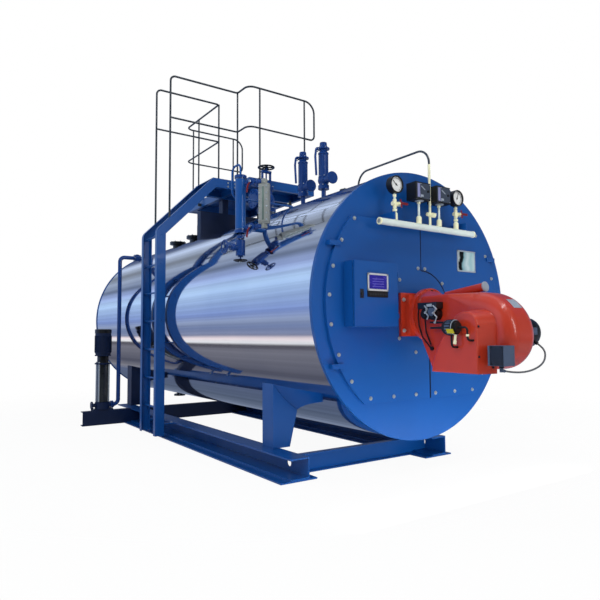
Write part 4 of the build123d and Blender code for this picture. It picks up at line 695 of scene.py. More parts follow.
# %% Door seal
seam_y, seam_r, seam_z = door_y + 0.006, 0.305, 1.300
seam_step = math.radians(11)
low_x, joint_z = 0.080, 1.000
seal = [(0, seam_y, 1.965), (0, seam_y, 1.604)]
for step in range(1, 16):
    a = seam_step * step
    seal.append((seam_r * math.sin(a), seam_y, seam_z + seam_r * math.cos(a)))
seal.append((low_x, seam_y, joint_z))
run_tube("door_seal", seal, 0.0080, 0.0, seal_and_gap_shade)
low_y = seam_y + 0.002
run_tube("low_seal", [(low_x, low_y, joint_z + 0.004), (low_x, low_y, 0.605)], 0.0110, 0.0, seal_and_gap_shade)
print("seal points", len(seal))

# %% [markdown]
# ## Control cabinet
#
# A silver bezel frames a dark blue screen with a black keypad under it. They ride on the door,
# because they turn with it. The screen shows bare lines, as no text is drawn.

# %% Cabinet trim
lo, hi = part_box("cabinet_screen")
front, edge = lo.y, 0.013
view_low = lo.z + 0.044
four_bars("bezel", (lo.x, view_low), (hi.x, hi.z), front, 0.004, edge, bezel, "cabinet_door", 0.0015)
slab(
    "display", (lo.x + edge, front - 0.0012, view_low + edge), (hi.x - edge, front + 0.001, hi.z - edge),
    screen_glass, "cabinet_door", 0.0)
far_left = lo.x - 5.0
rows = [(lo.x + 0.100, front - 0.0016, view_low + h) for h in (0.032, 0.050, 0.068, 0.086)]
put_boxes(
    "screen_rows", rows, (0.11, 0.005, 0.0008), (far_left, front, lo.z + 0.08), forward,
    screen_lines, "cabinet_door")
keys_z = lo.z + 0.021
keys = [(lo.x + 0.026 + 0.024 * i, front - 0.001, keys_z) for i in range(7)]
put_boxes(
    "keys", keys, (0.017, 0.014, 0.002), (far_left, front, keys_z), forward,
    key_plastic, "cabinet_door")
door_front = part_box("cabinet_door")[0].y
lock_lo, lock_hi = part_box("cabinet_lock")
lock_x, lock_z = (lock_lo.x + lock_hi.x) / 2, (lock_lo.z + lock_hi.z) / 2
slab(
    "lock_slot", (lock_x - 0.0015, lock_lo.y - 0.0012, lock_z - 0.008),
    (lock_x + 0.0015, lock_lo.y + 0.001, lock_z + 0.008), steel, "cabinet_door", 0.0)
slab(
    "lock_plate", (lock_x - 0.017, door_front - 0.002, lock_z - 0.032),
    (lock_x + 0.017, door_front + 0.0005, lock_z + 0.032), navy_plastic, "cabinet_door", 0.0008)
print("screen", round(hi.x - lo.x, 3), "wide, keys", len(keys))

# %% [markdown]
# ## Frame of the bare plate
#
# A raised pale frame with a screw in each corner holds the plate on the right leaf. It could be
# one plate with a window cut in it, but the bars of the screen's bezel do the same work, so the
# same function makes both.

# %% Plate frame
frame_w, screw_in = 0.012, 0.006
four_bars(
    "plate_frame", (plate_low.x, plate_low.z), (plate_high.x, plate_high.z), plate_low.y, 0.002,
    frame_w, pale_plastic, root, 0.0008)
corners = [
    (x, plate_low.y - 0.002, z)
    for x in (plate_low.x + screw_in, plate_high.x - screw_in)
    for z in (plate_low.z + screw_in, plate_high.z - screw_in)]
bolt_up("plate_screws", corners, "-y", 0.003, 0.0015, 0.0042)
print("plate screws", len(corners))

# %% [markdown]
# ## Gauge faces
#
# A dial is a white disc in a deep black rim, with fine marks and a needle. The marks are one thin
# box repeated round three quarters of the circle, so they stay sharp at any distance.

# %% Gauge faces
man_y, man_z, man_r = -0.788, 1.925, 0.025
gauge_r = 0.066
face_r = gauge_r - 0.009
gauge_at = {"left": (-0.376, 2.211), "right": (0.302, 2.198)}
switch_at = {"left": (-0.123, 2.124), "right": (0.103, 2.124)}
dial_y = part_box("pressure_gauges")[0].y
mark_y, mark_r, mark_step = dial_y + 0.0032, 0.049, 7.5
rim = [
    (face_r, 0), (gauge_r, 0), (gauge_r, 0.009), (gauge_r - 0.003, 0.012),
    (face_r + 0.001, 0.012), (face_r, 0.010), (face_r, 0)]
disc = [(face_r + 0.002, 0), (face_r + 0.002, 0.0008)]
hub = [(0.007, 0), (0.007, 0.002), (0.004, 0.003)]
for side, aim in (("left", -0.85), ("right", 0.35)):
    cx, cz = gauge_at[side]
    lathe("dial_" + side, (cx, dial_y + 0.0045, cz), forward, disc, white_dial)
    lathe("dial_rim_" + side, (cx, dial_y + 0.001, cz), forward, rim, black_enamel)
    marks = []
    for i in range(37):
        a = math.radians(225 - mark_step * i)
        marks.append((cx + mark_r * math.cos(a), mark_y, cz + mark_r * math.sin(a)))
    put_boxes(
        "dial_marks_" + side, marks, (0.008, 0.0012, 0.0008), (cx, mark_y, cz), forward, dial_ink)
    slab(
        "needle_" + side, (cx - 0.0022, dial_y + 0.0012, cz - 0.016),
        (cx + 0.0022, dial_y + 0.0026, cz + 0.044), dial_ink, root, 0.0,
        Matrix.Rotation(aim, 4, "Y"), (cx, dial_y + 0.002, cz))
    lathe("needle_hub_" + side, (cx, dial_y + 0.003, cz), forward, hub, dial_ink)
print("marks on a dial", len(marks))

# %% [markdown]
# ## Stems and cocks
#
# Each stem is screwed together from a socket, hexagon nuts and, under the gauges, a cock with a
# red lever. They are turned parts, so the lathe function makes them, with six sides for a nut.

# %% Stems and cocks
foot_z = man_z + man_r - 0.004
valve_z = man_z + man_r + 0.120
socket = [(0.018, 0), (0.0205, 0.003), (0.0205, 0.050), (0.0165, 0.054), (0.0135, 0.060)]
top_nut = [(0.0125, 0), (0.0150, 0.002), (0.0150, 0.016), (0.0125, 0.018)]
big_nut = [(0.0135, 0), (0.0195, 0.003), (0.0195, 0.016), (0.0135, 0.019)]
neck = [(0.0125, 0), (0.0145, 0.002), (0.0145, 0.066), (0.0125, 0.068)]
bonnet = [(0.017, 0), (0.019, 0.002), (0.019, 0.020), (0.013, 0.026)]
flange = [(0.034, 0), (0.034, 0.004), (0.016, 0.009)]
stems = [("gauge_" + side, x, z - gauge_r) for side, (x, z) in gauge_at.items()]
stems += [("switch_" + side, x, z) for side, (x, z) in switch_at.items()]
for label, cx, top in stems:
    lathe("socket_" + label, (cx, man_y, foot_z), upward, socket, brass, count=28)
    lathe("top_nut_" + label, (cx, man_y, top - 0.024), upward, top_nut, brass, count=6)
    if label.startswith("switch"):
        lathe("switch_disc_" + label, (cx, man_y - 0.006, top), downward, flange, pale_plastic, count=40)
        continue
    lathe("nut_" + label, (cx, man_y, foot_z + 0.066), upward, big_nut, brass, count=6)
    lathe("valve_neck_" + label, (cx, man_y, valve_z - 0.034), upward, neck, brass, count=28)
    lathe("bonnet_" + label, (cx + 0.024, man_y - 0.004, valve_z), rightward, bonnet, zinc, count=24)
    slab(
        "lever_" + label, (cx + 0.030, man_y - 0.0425, valve_z - 0.0095),
        (cx + 0.0985, man_y - 0.0315, valve_z + 0.0095), red_lever, root, 0.004)
    slab(
        "lever_tail_" + label, (cx + 0.020, man_y - 0.044, valve_z - 0.034),
        (cx + 0.032, man_y - 0.034, valve_z + 0.030), red_lever, root, 0.004,
        Matrix.Rotation(math.radians(-12), 4, "Y"), (cx + 0.026, man_y, valve_z))
print("stems", len(stems))

# %% [markdown]
# ## Siphon
#
# The siphon pipe from the shell's top drops into the manifold between the switches, with a cock
# of its own. All of it is round, so the lathe turns its cock from one profile, and its straight
# parts are drawn along a line.

# %% Siphon
cock_z, cock_front = 2.032, man_y - 0.040
run_tube("siphon_drop", [(0, man_y, 2.430), (0, man_y, foot_z)], 0.0100, 0.0, brass)
lathe(
    "siphon_cock", (-0.034, man_y, cock_z), rightward,
    [(0.010, 0), (0.014, 0.003), (0.014, 0.022), (0.0165, 0.024), (0.0165, 0.056), (0.019, 0.058),
     (0.019, 0.086), (0.014, 0.090)], brass, count=24)
lathe(
    "siphon_stem", (0, man_y - 0.010, cock_z), forward,
    [(0.009, 0), (0.009, 0.012), (0.0045, 0.014), (0.0045, 0.034)], brass, count=20)
run_tube(
    "siphon_tee_bar", [(-0.026, cock_front, cock_z - 0.014), (0.026, cock_front, cock_z + 0.002)],
    0.0042, 0.0, brass)
print("siphon cock at height", cock_z)

# %% [markdown]
# ## Switch fronts
#
# Each pressure switch has a slate front with a lilac scale, a pale pointer bar, a bare plate and
# a black knob. All of it could be one picture on the front, but thin slabs of their own keep
# their edges crisp from near. The ticks are boxes in a row, and no figures stand beside them.

# %% Switch fronts
lo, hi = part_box("pressure_switches")
fy, switch_h = lo.y, hi.z - lo.z
bar_turn = Matrix.Rotation(math.radians(32), 4, "Y")
knob = [(0.010, 0), (0.010, 0.006), (0.008, 0.008)]
for label, (cx, low_z) in switch_at.items():
    top_z, mid = low_z + switch_h, low_z + switch_h / 2
    slab(
        "switch_front_" + label, (cx - 0.072, fy - 0.0035, low_z + 0.008),
        (cx + 0.072, fy + 0.001, top_z - 0.008), slate_plastic, root, 0.002)
    slab(
        "switch_scale_" + label, (cx - 0.066, fy - 0.0056, low_z + 0.014),
        (cx - 0.040, fy - 0.0030, top_z - 0.014), lilac_plastic, root, 0.0005)
    ticks = [(cx - 0.044, fy - 0.0060, low_z + 0.022 + 0.0098 * i) for i in range(10)]
    put_boxes(
        "switch_ticks_" + label, ticks, (0.008, 0.0014, 0.0006), (cx - 5, fy, mid), forward, dial_ink)
    slab(
        "switch_bar_" + label, (cx - 0.030, fy - 0.0048, mid + 0.018),
        (cx + 0.018, fy - 0.0030, mid + 0.026), pale_plastic, root, 0.0008, bar_turn)
    slab(
        "switch_plate_" + label, (cx - 0.034, fy - 0.0045, low_z + 0.018),
        (cx - 0.004, fy - 0.0030, low_z + 0.036), pale_plastic, root, 0.0008)
    lathe("switch_knob_" + label, (cx + 0.046, fy - 0.003, mid), forward, knob, black_plastic, count=28)
    screws = [
        (cx + sx, fy - 0.003, low_z + sz) for sx in (-0.033, 0.066) for sz in (0.014, switch_h - 0.014)]
    bolt_up("switch_screws_" + label, screws, "-y", 0.0028, 0.0015, 0.0036)
print("switch front height", round(switch_h, 4))

# %% [markdown]
# ## Manifold ends
#
# Screwed caps close the manifold, and its two brackets are painted with the plate. The brackets
# have a thin coat of their own over the construction model's steel, as it is one piece with
# the pipe and takes only one finish.

# %% Manifold ends
end_left, end_right, bracket_at = -0.535, 0.512, 0.400
bracket_low, bracket_high = 1.947, 2.0055
end_cap = [(man_r - 0.001, -0.012), (man_r + 0.002, -0.010), (man_r + 0.002, 0.0), (0.017, 0.0008)]
end_plug = [(0.016, 0.0004), (0.016, 0.0014), (0.008, 0.0016)]
for label, x, facing in (("left", end_left, leftward), ("right", end_right, rightward)):
    lathe("manifold_end_" + label, (x, man_y, man_z), facing, end_cap, brass, count=36)
    lathe("manifold_plug_" + label, (x, man_y, man_z), facing, end_plug, cast_grey, count=36)
for label, x in (("left", -bracket_at), ("right", bracket_at)):
    slab(
        "bracket_paint_" + label, (x - 0.0062, man_y - 0.0262, bracket_low),
        (x + 0.0062, face_y, bracket_high), blue_enamel, root, 0.001)
print("manifold length", round(end_right - end_left, 3))

# %% [markdown]
# ## Level gauge
#
# The level gauge is a grey block with a narrow glass between two columns of bolts. It is turned
# to be read from the boiler's front corner. Its trim could be made square and turned afterwards,
# but points worked out along its own width and face put each bolt in place at once.

# %% Level gauge
glass = Vector((-0.900, 0.212, 2.200))
along = Vector((0.5962, -0.8028, 0.0)).normalized()
normal = Vector((-0.8028, -0.5962, 0.0)).normalized()
skew = Matrix.Rotation(math.atan2(along.y, along.x), 4, "Z")


def on_gauge(side, out, up):
    """Point beside the gauge's middle: along its width, out of its face and up."""
    return glass + along * side + normal * out + Vector((0, 0, up))


glass_bolt = [(0.0085, -0.006), (0.0085, 0.004), (0.0070, 0.006)]
glass_stud = [(0.0040, 0.004), (0.0040, 0.011)]
for side in (-1, 1):
    for i in range(6):
        spot = on_gauge(side * 0.032, 0.030, -0.140 + 0.056 * i)
        lathe("glass_bolt_%d_%d" % (side, i), spot, normal, glass_bolt, zinc, count=6)
        lathe("glass_stud_%d_%d" % (side, i), spot, normal, glass_stud, zinc, count=12)
slab(
    "glass_cover", glass + Vector((-0.042, -0.031, -0.158)), glass + Vector((0.042, -0.021, 0.158)),
    cast_grey, root, 0.003, skew, glass)
slab(
    "glass_slot", glass + Vector((-0.009, -0.0335, -0.140)), glass + Vector((0.009, -0.030, 0.140)),
    water_glass, root, 0.001, skew, glass)
glass_end = [(0.024, -0.006), (0.026, -0.004), (0.026, 0.030), (0.021, 0.034)]
for up, label, way in ((0.176, "top", upward), (-0.176, "bottom", downward)):
    lathe("glass_end_" + label, on_gauge(0, 0, up), way, glass_end, cast_grey, count=32)
print("gauge turned by", round(math.degrees(math.atan2(along.y, along.x)), 1), "degrees")

# %% [markdown]
# ## Fittings of the water column
#
# The column has a rim at each end, and two cocks with red sleeves lead to the level gauge. Below
# it hang the drain valves, told apart by their hexagon bonnets and the nuts of their handwheels.
# The castings stay as the construction model has them, and turned trim gives them their edges.

# %% Column fittings
cx, cy = -1.030, 0.387
column_rim = [(0.0455, 0.0), (0.052, 0.002), (0.052, 0.026), (0.0455, 0.030)]
column_band = [(0.0455, 0), (0.0465, 0.001), (0.0465, 0.004), (0.0455, 0.005)]
for z0, label, band_up in ((1.962, "low", 0.030), (2.430, "high", -0.005)):
    lathe("column_rim_" + label, (cx, cy, z0), upward, column_rim, navy_enamel)
    lathe("column_band_" + label, (cx, cy, z0 + band_up), upward, column_band, steel)
cock_nut = [(0.012, 0), (0.013, 0.002), (0.013, 0.009), (0.011, 0.011)]
arm_nut = [(0.020, 0), (0.023, 0.003), (0.023, 0.016), (0.020, 0.018)]
for height in (2.010, 2.390):
    tag = height * 1000
    middle = (Vector((cx, cy, height)) + Vector((glass.x, glass.y, height))) / 2
    grip = middle + normal * 0.047
    sleeve = [
        grip + along * -0.006 + Vector((0, 0, -0.010)), grip + along * -0.022 + Vector((0, 0, -0.034)),
        grip + along * -0.030 + Vector((0, 0, -0.093))]
    run_tube("cock_sleeve_%d" % tag, sleeve, 0.0075, 0.02, red_lever)
    lathe("cock_nut_%d" % tag, middle + normal * 0.048, normal, cock_nut, steel, count=6)
    for flip in (-1, 1):
        spot = middle + along * (0.036 * flip)
        lathe("arm_nut_%d_%d" % (tag, flip), spot, along * flip, arm_nut, navy_enamel, count=6)
wheel_nut = [(0.012, 0.008), (0.012, 0.016), (0.006, 0.018)]
lathe("drain_nut_side", (-1.180, cy, 1.838), leftward, wheel_nut, zinc, count=6)
lathe("drain_nut_low", (cx, cy, 1.733), downward, wheel_nut, zinc, count=6)
for z0, label, way in ((1.935, "a", "+z"), (1.918, "b", "-z")):
    bolt_up("drain_bolts_" + label, circle((cx, cy, z0), 0.027, 6, "z"), way, 0.005, 0.004, 0.006)
lathe(
    "drain_bonnet_side", (-1.085, cy, 1.838), leftward,
    [(0.030, 0), (0.034, 0.003), (0.034, 0.012), (0.028, 0.016)], navy_enamel, count=6)
print("column at", cx, cy)

# %% [markdown]
# ## Steam valve
#
# A flanged casting shows how it is put together: a ring of hexagon heads on each joint, nuts under the
# lower one, and a dark line of gasket between the flanges, darkened partly as painted shade of the gap.
# The gasket could be a gap with shadow in it, but a thin dark ring of painted shade shows from every
# side.

# %% Steam valve
sy, eighth = 1.667, math.pi / 8
foot_ring_r, bonnet_ring_r = 0.090, 0.076
foot = circle((0, sy, 2.542), foot_ring_r, 8, "z", eighth)
under = circle((0, sy, 2.498), foot_ring_r, 8, "z", eighth)
bolt_up("steam_foot_bolts", foot, "+z", 0.010, 0.010, 0.013)
bolt_up("steam_foot_nuts", under, "-z", 0.010, 0.010, 0.013)
bolt_up("bonnet_bolts", circle((0, sy, 2.790), bonnet_ring_r, 8, "z"), "+z", 0.008, 0.009, 0.010)
# the joint rings are gasket, darkened as painted shade between the flanges
for label, z, r in (("bonnet", 2.7715, 0.0890), ("foot", 2.519, 0.1108)):
    inner = {"bonnet": 0.0885, "foot": 0.1102}[label]
    joint = [(inner, 0), (r, 0.0005), (r, 0.0015), (inner, 0.002)]
    lathe(label + "_joint", (0, sy, z), upward, joint, seal_and_gap_shade)
bolt_up("gland_nuts", [(0.024, sy, 2.830), (-0.024, sy, 2.830)], "+z", 0.007, 0.010, 0.009)
lathe(
    "wheel_nut_steam", (0, sy, 3.037), upward, [(0.016, 0), (0.016, 0.012), (0.013, 0.014)], zinc,
    "steam_wheel", count=6)
print("steam valve bolts", len(foot) + len(under))

# %% [markdown]
# ## Safety valves
#
# Both valves have a ribbed spring housing, a cap with bolts and a small dome, a blind outlet and
# a lead seal on a wire. One loop makes the pair, as only their place along the shell differs.

# %% Safety valves
housing = [
    (0.0365, 0), (0.052, 0.002), (0.052, 0.016), (0.046, 0.022), (0.044, 0.040), (0.043, 0.230),
    (0.046, 0.236), (0.052, 0.240), (0.052, 0.254), (0.040, 0.262), (0.0365, 0.270)]
dome = [(0.0345, 0.0), (0.036, 0.002), (0.036, 0.026), (0.030, 0.033), (0.018, 0.036)]
outlet = [(0.0585, 0.0), (0.060, 0.002), (0.060, 0.012), (0.0585, 0.014)]
lead = [(0.006, 0), (0.0065, 0.002), (0.0065, 0.005), (0.005, 0.007)]
collar = [(0.030, 0), (0.034, 0.003), (0.034, 0.016), (0.024, 0.022)]
diagonal = math.pi / 4
for y, label in ((0.579, "front"), (0.932, "rear")):
    lathe("spring_housing_" + label, (0, y, 2.640), upward, housing, navy_enamel)
    for i, (rx, ry, _) in enumerate(circle((0, y, 0), 0.044, 4, "z", diagonal)):
        rib = [(rx, ry, 2.665), (rx, ry, 2.872)]
        run_tube("housing_rib_%s_%d" % (label, i), rib, 0.005, 0.0, navy_enamel)
    bolt_up("housing_bolts_" + label, circle((0, y, 2.656), 0.0475, 6, "z"), "+z", 0.005, 0.006, 0.006)
    bolt_up("cap_bolts_" + label, circle((0, y, 2.942), 0.053, 6, "z", 0.3), "+z", 0.005, 0.005, 0.006)
    lathe("cap_dome_" + label, (0, y, 2.962), upward, dome, navy_enamel, count=36)
    foot = circle((0, y, 2.566), 0.047, 4, "z", diagonal)
    bolt_up("foot_bolts_" + label, foot, "+z", 0.006, 0.006, 0.008)
    lathe("outlet_rim_" + label, (0, y - 0.134, 2.618), forward, outlet, navy_enamel)
    wire = [(-0.036, y - 0.012, 2.958), (-0.058, y - 0.010, 2.930), (-0.074, y - 0.004, 2.900)]
    run_tube("seal_wire_" + label, wire, 0.0012, 0.008, zinc)
    lathe("lead_seal_" + label, (-0.074, y - 0.008, 2.898), backward, lead, zinc, count=20)
    lathe("neck_collar_" + label, (0, y, 2.385), upward, collar, steel, count=36)
print("safety valves done")

# %% [markdown]
# ## Other nozzles
#
# Two blank flanges wait on the shell's far half, a small one vents it near the front, and the
# blow-down nozzle hangs below. Their bolts, the test cock's hub and the pad under the steam
# nozzle are all that is missing, and each ring of bolts is one mesh from the fastener tree.

# %% Other nozzles
blank_ys = (3.181, 3.766)
for y in blank_ys:
    ring = circle((-0.200, y, 2.4336), 0.094, 8, "z")
    bolt_up("blank_bolts_%d" % (y * 1000), ring, "+z", 0.009, 0.008, 0.012)
bolt_up("vent_bolts", circle((0, 0.247, 2.455), 0.040, 4, "z", diagonal), "+z", 0.006, 0.005, 0.008)
lathe(
    "test_cock_lever_hub", (-0.300, 0.727, 2.378), leftward,
    [(0.006, 0.0), (0.006, 0.026), (0.005, 0.028)], brass, count=20)
below = circle((0, 4.142, 0.244), 0.066, 8, "z", eighth)
bolt_up("blowdown_bolts", below, "+z", 0.008, 0.007, 0.011)
lathe(
    "nozzle_pad_steam", (0, sy, 2.3775), upward,
    [(0.060, 0), (0.078, 0.0005), (0.078, 0.003), (0.060, 0.006)], steel)
print("blank flanges", len(blank_ys))

# %% [markdown]
# ## Burner linkage
#
# Two bent levers and two link bars couple the gas valve to the air damper on the burner's near
# side. They could be cut from sheet, but drawn through a few points each they follow their bends
# with hardly any code: the bends are small, so five points do for a lever.

# %% Burner linkage
head_y, head_z = -0.783, 1.254
flange_bolts = [(x, -0.708, z) for x in (-0.221, 0.221) for z in (1.366, 1.132)]
bolt_up("burner_flange_bolts", flange_bolts, "-y", 0.011, 0.010, 0.016)
head_ring = circle((0, head_y, head_z), 0.1955, 12, "y", math.pi / 12)
bolt_up("head_bolts", head_ring, "-y", 0.0055, 0.004, 0.0070, orange_paint)
bolt_up("head_eye", [(0.0, -0.790, 1.430)], "-y", 0.012, 0.008, 0.014, black_enamel)
lever_x = -0.301
levers = {
    "lever_a": [(-0.992, 1.305), (-1.015, 1.280), (-1.000, 1.256), (-1.027, 1.230), (-1.013, 1.206)],
    "lever_b": [(-1.071, 1.303), (-1.100, 1.277), (-1.074, 1.250), (-1.103, 1.221), (-1.086, 1.183)],
}
for name, bends in levers.items():
    run_tube(name, [(lever_x, y, z) for y, z in bends], 0.0050, 0.006, zinc)
for name, x, y0, z0, y1, z1, r in (
    ("link_bar_upper", -0.290, -1.035, 1.185, -1.149, 1.182, 0.007),
    ("link_bar_lower", -0.262, -1.030, 1.146, -1.160, 1.143, 0.006),
):
    run_tube(name, [(x, y0, z0), (x, y1, z1)], r, 0.0, black_enamel)
link_ball = [(0.006, 0), (0.009, 0.004), (0.009, 0.010), (0.006, 0.014)]
ball_places = [(-1.015, 1.281), (-1.0, 1.256), (-1.100, 1.277), (-1.074, 1.250), (-1.088, 1.184)]
for i, (y, z) in enumerate(ball_places):
    lathe("link_ball_%d" % i, (-0.297, y, z), leftward, link_ball, zinc, count=16)
lathe(
    "cam_wheel", (-0.290, -1.050, 1.262), leftward,
    [(0.030, 0), (0.032, 0.002), (0.032, 0.008), (0.024, 0.010)], grey_plastic, count=40)
slab("servo_lid", (-0.300, -1.095, 1.286), (-0.295, -0.925, 1.325), navy_plastic, root, 0.002)
slab("servo_clamp", (-0.3005, -1.060, 1.296), (-0.299, -1.010, 1.316), pale_plastic, root, 0.0005)
print("linkage joints", len(ball_places))

# %% [markdown]
# ## Air hoses and air switch
#
# Two rubber hoses feel the air pressure in the casing, and the tube tree needs only their paths.
# The air switch is a ribbed black drum with a yellow plate, a brass stub below and a ferrule on
# its hose. Its ribs are boxes that look at the drum's axis, as a motor's fins are further down.

# %% Air hoses and air switch
hose_r, hose_bend = 0.0055, 0.08
rear_run = [
    (-0.243, -0.885, 1.300), (-0.262, -0.893, 1.240), (-0.262, -0.900, 1.170),
    (-0.262, -0.930, 1.085), (-0.245, -0.990, 1.008)]
front_run = [
    (-0.243, -0.955, 1.270), (-0.262, -0.960, 1.206), (-0.262, -0.966, 1.123), (-0.245, -0.995, 1.028)]
run_tube("air_hose_rear", rear_run, hose_r, hose_bend, rubber)
run_tube("air_hose_front", front_run, hose_r, hose_bend, rubber)
plug = [(0.014, 0), (0.014, 0.014), (0.009, 0.018)]
lathe("hose_plug", (-0.2305, -0.997, 1.002), leftward, plug, black_plastic, count=20)
px, py, pz = -0.435, -1.344, 1.145
lathe(
    "switch_band", (px, py + 0.020, pz), forward,
    [(0.0465, 0), (0.0495, 0.001), (0.0495, 0.040), (0.0465, 0.041)], grey_plastic, count=44)
lathe(
    "switch_flange_line", (px, py - 0.030, pz), forward,
    [(0.0465, 0), (0.0505, 0.001), (0.0505, 0.004), (0.0465, 0.005)], pale_plastic, count=44)
ribs = circle((px, py, pz), 0.050, 16, "y")
put_boxes("switch_ribs", ribs, (0.004, 0.006, 0.050), (px, py, pz), backward, black_plastic)
slab(
    "switch_yellow", (px - 0.0520, py - 0.055, pz - 0.016), (px - 0.0495, py + 0.002, pz + 0.016),
    yellow_plate, root, 0.0006, Matrix.Rotation(math.radians(-28), 4, "Y"), (px, py, pz))
lathe(
    "switch_stub", (px - 0.010, py - 0.040, pz - 0.046), (-0.15, 0, -1),
    [(0.0085, 0), (0.0085, 0.038), (0.0105, 0.039), (0.0105, 0.060), (0.007, 0.062)], brass, count=16)
ferrule_y = py - 0.126
run_tube(
    "hose_ferrule", [(px, ferrule_y, pz - 0.044), (px, ferrule_y, pz - 0.058)], 0.0098, 0.0, brass)
print("switch ribs", len(ribs))

# %% [markdown]
# ## Casing plates and terminal box
#
# The casing carries two bare plates. The one on the shoulder is bent to the casing's curve, so
# it is built point by point round the same centre, as a flat plate would sink in or stand off.

# %% Casing plates and terminal box
lean = Matrix.Rotation(-math.atan2(0.034, 0.150), 4, "Z")
slab("intake_plate", (-0.337, -1.5085, 1.042), (-0.272, -1.5055, 1.086), pale_plastic, root, 0.0006, lean)
intake_screws = [(-0.366, -1.4995, 0.959), (-0.366, -1.4995, 1.150), (-0.262, -1.5235, 0.890)]
bolt_up("intake_screw", intake_screws, "-y", 0.006, 0.004, 0.008, navy_plastic)
casing_y, casing_z, bends = -1.337, 1.087, 8
inner_r, outer_r, left_x, right_x = 0.2975, 0.2996, -0.095, -0.010
patch_points, patch_faces = [], []
for i in range(bends + 1):
    a = math.radians(38 + 2.0 * i)
    for r in (inner_r, outer_r):
        for x in (left_x, right_x):
            patch_points.append((x, casing_y - r * math.cos(a), casing_z + r * math.sin(a)))
for i in range(bends):
    k = 4 * i
    patch_faces += [
        (k + 2, k + 3, k + 7, k + 6), (k, k + 4, k + 5, k + 1),
        (k, k + 2, k + 6, k + 4), (k + 1, k + 5, k + 7, k + 3)]
k = 4 * bends
patch_faces += [(0, 1, 3, 2), (k, k + 2, k + 3, k + 1)]
patch_mesh = bpy.data.meshes.new("shoulder_plate")
patch_mesh.from_pydata(patch_points, [], patch_faces)
keep("shoulder_plate", patch_mesh, pale_plastic)
lathe(
    "sight_glass_cap", (-0.020, -1.2985, 1.4312), (0, -1, 0.125),
    [(0.034, -0.006), (0.036, -0.004), (0.036, 0.003), (0.030, 0.006), (0.010, 0.008)],
    pale_plastic, count=40)
bx0, bx1, by0, by1, bz0, bz1 = -0.345, -0.235, -1.663, -1.548, 0.905, 1.030
slab(
    "terminal_lid", (bx0 - 0.004, by0 + 0.003, bz0 + 0.003), (bx0 + 0.001, by1 - 0.016, bz1 - 0.003),
    navy_plastic, root, 0.003)
lid_screws = [
    (bx0 - 0.004, y, z) for y in (by0 + 0.012, by1 - 0.026) for z in (bz0 + 0.012, bz1 - 0.012)]
bolt_up("terminal_screws", lid_screws, "-x", 0.0035, 0.002, 0.0045, navy_plastic)
lathe(
    "terminal_gland", ((bx0 + bx1) / 2, (by0 + by1) / 2, bz0), downward,
    [(0.0135, 0), (0.0150, 0.002), (0.0150, 0.012), (0.0135, 0.014)], black_plastic, count=6)
print("shoulder plate faces", len(patch_faces))

# %% [markdown]
# ## Burner motor
#
# A fan-cooled motor has thin fins all round its body and a grille of rings and spokes over the
# fan. Fins and spokes are boxes that look at the motor's axis, and a ring is a closed profile.

# %% Burner motor
my, mz = -1.400, 1.110
fin_x, grille_x = 0.175, 0.3095
fins = circle((fin_x, my, mz), 0.1105, 36, "x")
put_boxes("motor_fins", fins, (0.009, 0.003, 0.124), (fin_x, my, mz), rightward, black_enamel)
for i, r in enumerate((0.030, 0.050, 0.070, 0.088)):
    ring = [(r - 0.003, 0), (r - 0.003, 0.003), (r + 0.003, 0.003), (r + 0.003, 0), (r - 0.003, 0)]
    lathe("fan_grille_%d" % i, (grille_x - 0.001, my, mz), rightward, ring, grey_plastic)
spokes = circle((grille_x, my, mz), 0.058, 8, "x")
put_boxes("fan_spokes", spokes, (0.066, 0.004, 0.003), (grille_x, my, mz), rightward, grey_plastic)
lathe(
    "fan_cover_band", (0.262, my, mz), rightward,
    [(0.1005, 0), (0.1035, 0.002), (0.1035, 0.038), (0.1005, 0.046)], black_enamel)
flange_ring = circle((0.106, my, mz), 0.1145, 8, "x", 0.2)
bolt_up("motor_flange_bolts", flange_ring, "+x", 0.005, 0.005, 0.006)
slab("motor_plate", (0.150, -1.5275, 1.095), (0.225, -1.5195, 1.145), grey_plastic, root, 0.001)
print("motor fins", len(fins))

# %% [markdown]
# ## Ladder and handrail feet
#
# Rungs pass through the rails and end in round plugs. The handrail posts stand on small bolted
# feet, which are cut short where a post stands at the deck's edge. The deck's two edges limit
# each foot's box, so that one line makes whole and cut feet alike.

# %% Ladder and handrail feet
rail_x, rung_pitch, first_rung_z = -1.102, 0.310, 0.336
front_rail_y, rear_rail_y = 2.030, 2.516
plug_end = [(0.0125, -0.001), (0.0135, 0.0), (0.0135, 0.002), (0.010, 0.004)]
plugs = []
for y, facing in ((front_rail_y, forward), (rear_rail_y, backward)):
    plugs += [((rail_x, y, first_rung_z + rung_pitch * i), facing) for i in range(7)]
for i, (spot, facing) in enumerate(plugs):
    lathe("rung_end_%d" % i, spot, facing, plug_end, blue_enamel, count=20)
deck_z, edge_front, edge_rear, foot_half = 2.919, 1.782, 3.507, 0.030
foot_at = [
    (-0.162, 2.0585), (-0.008, 1.796), (0.630, 1.796), (-0.196, 2.4875), (-0.093, 3.493), (0.538, 3.493)]
for i, (x, y) in enumerate(foot_at):
    slab(
        "post_foot_%d" % i, (x - foot_half, max(y - foot_half, edge_front), deck_z),
        (x + foot_half, min(y + foot_half, edge_rear), deck_z + 0.006), rail_paint, root, 0.001)
foot_bolts = [(x + d, y, deck_z + 0.006) for x, y in foot_at for d in (-0.021, 0.021)]
bolt_up("post_foot_bolts", foot_bolts, "+z", 0.005, 0.004, 0.0065)
bolt_up("clip_bolts", [(-0.962, y, 0.174) for y in (2.055, 2.491)], "+z", 0.010, 0.009, 0.014)
stringer_bolts = [(x, front_rail_y, z) for x in (-0.30, -0.21) for z in (2.88, 2.84)]
bolt_up("stringer_bolts", stringer_bolts, "-y", 0.008, 0.007, 0.011)
print("rung ends", len(plugs), "post feet", len(foot_at))

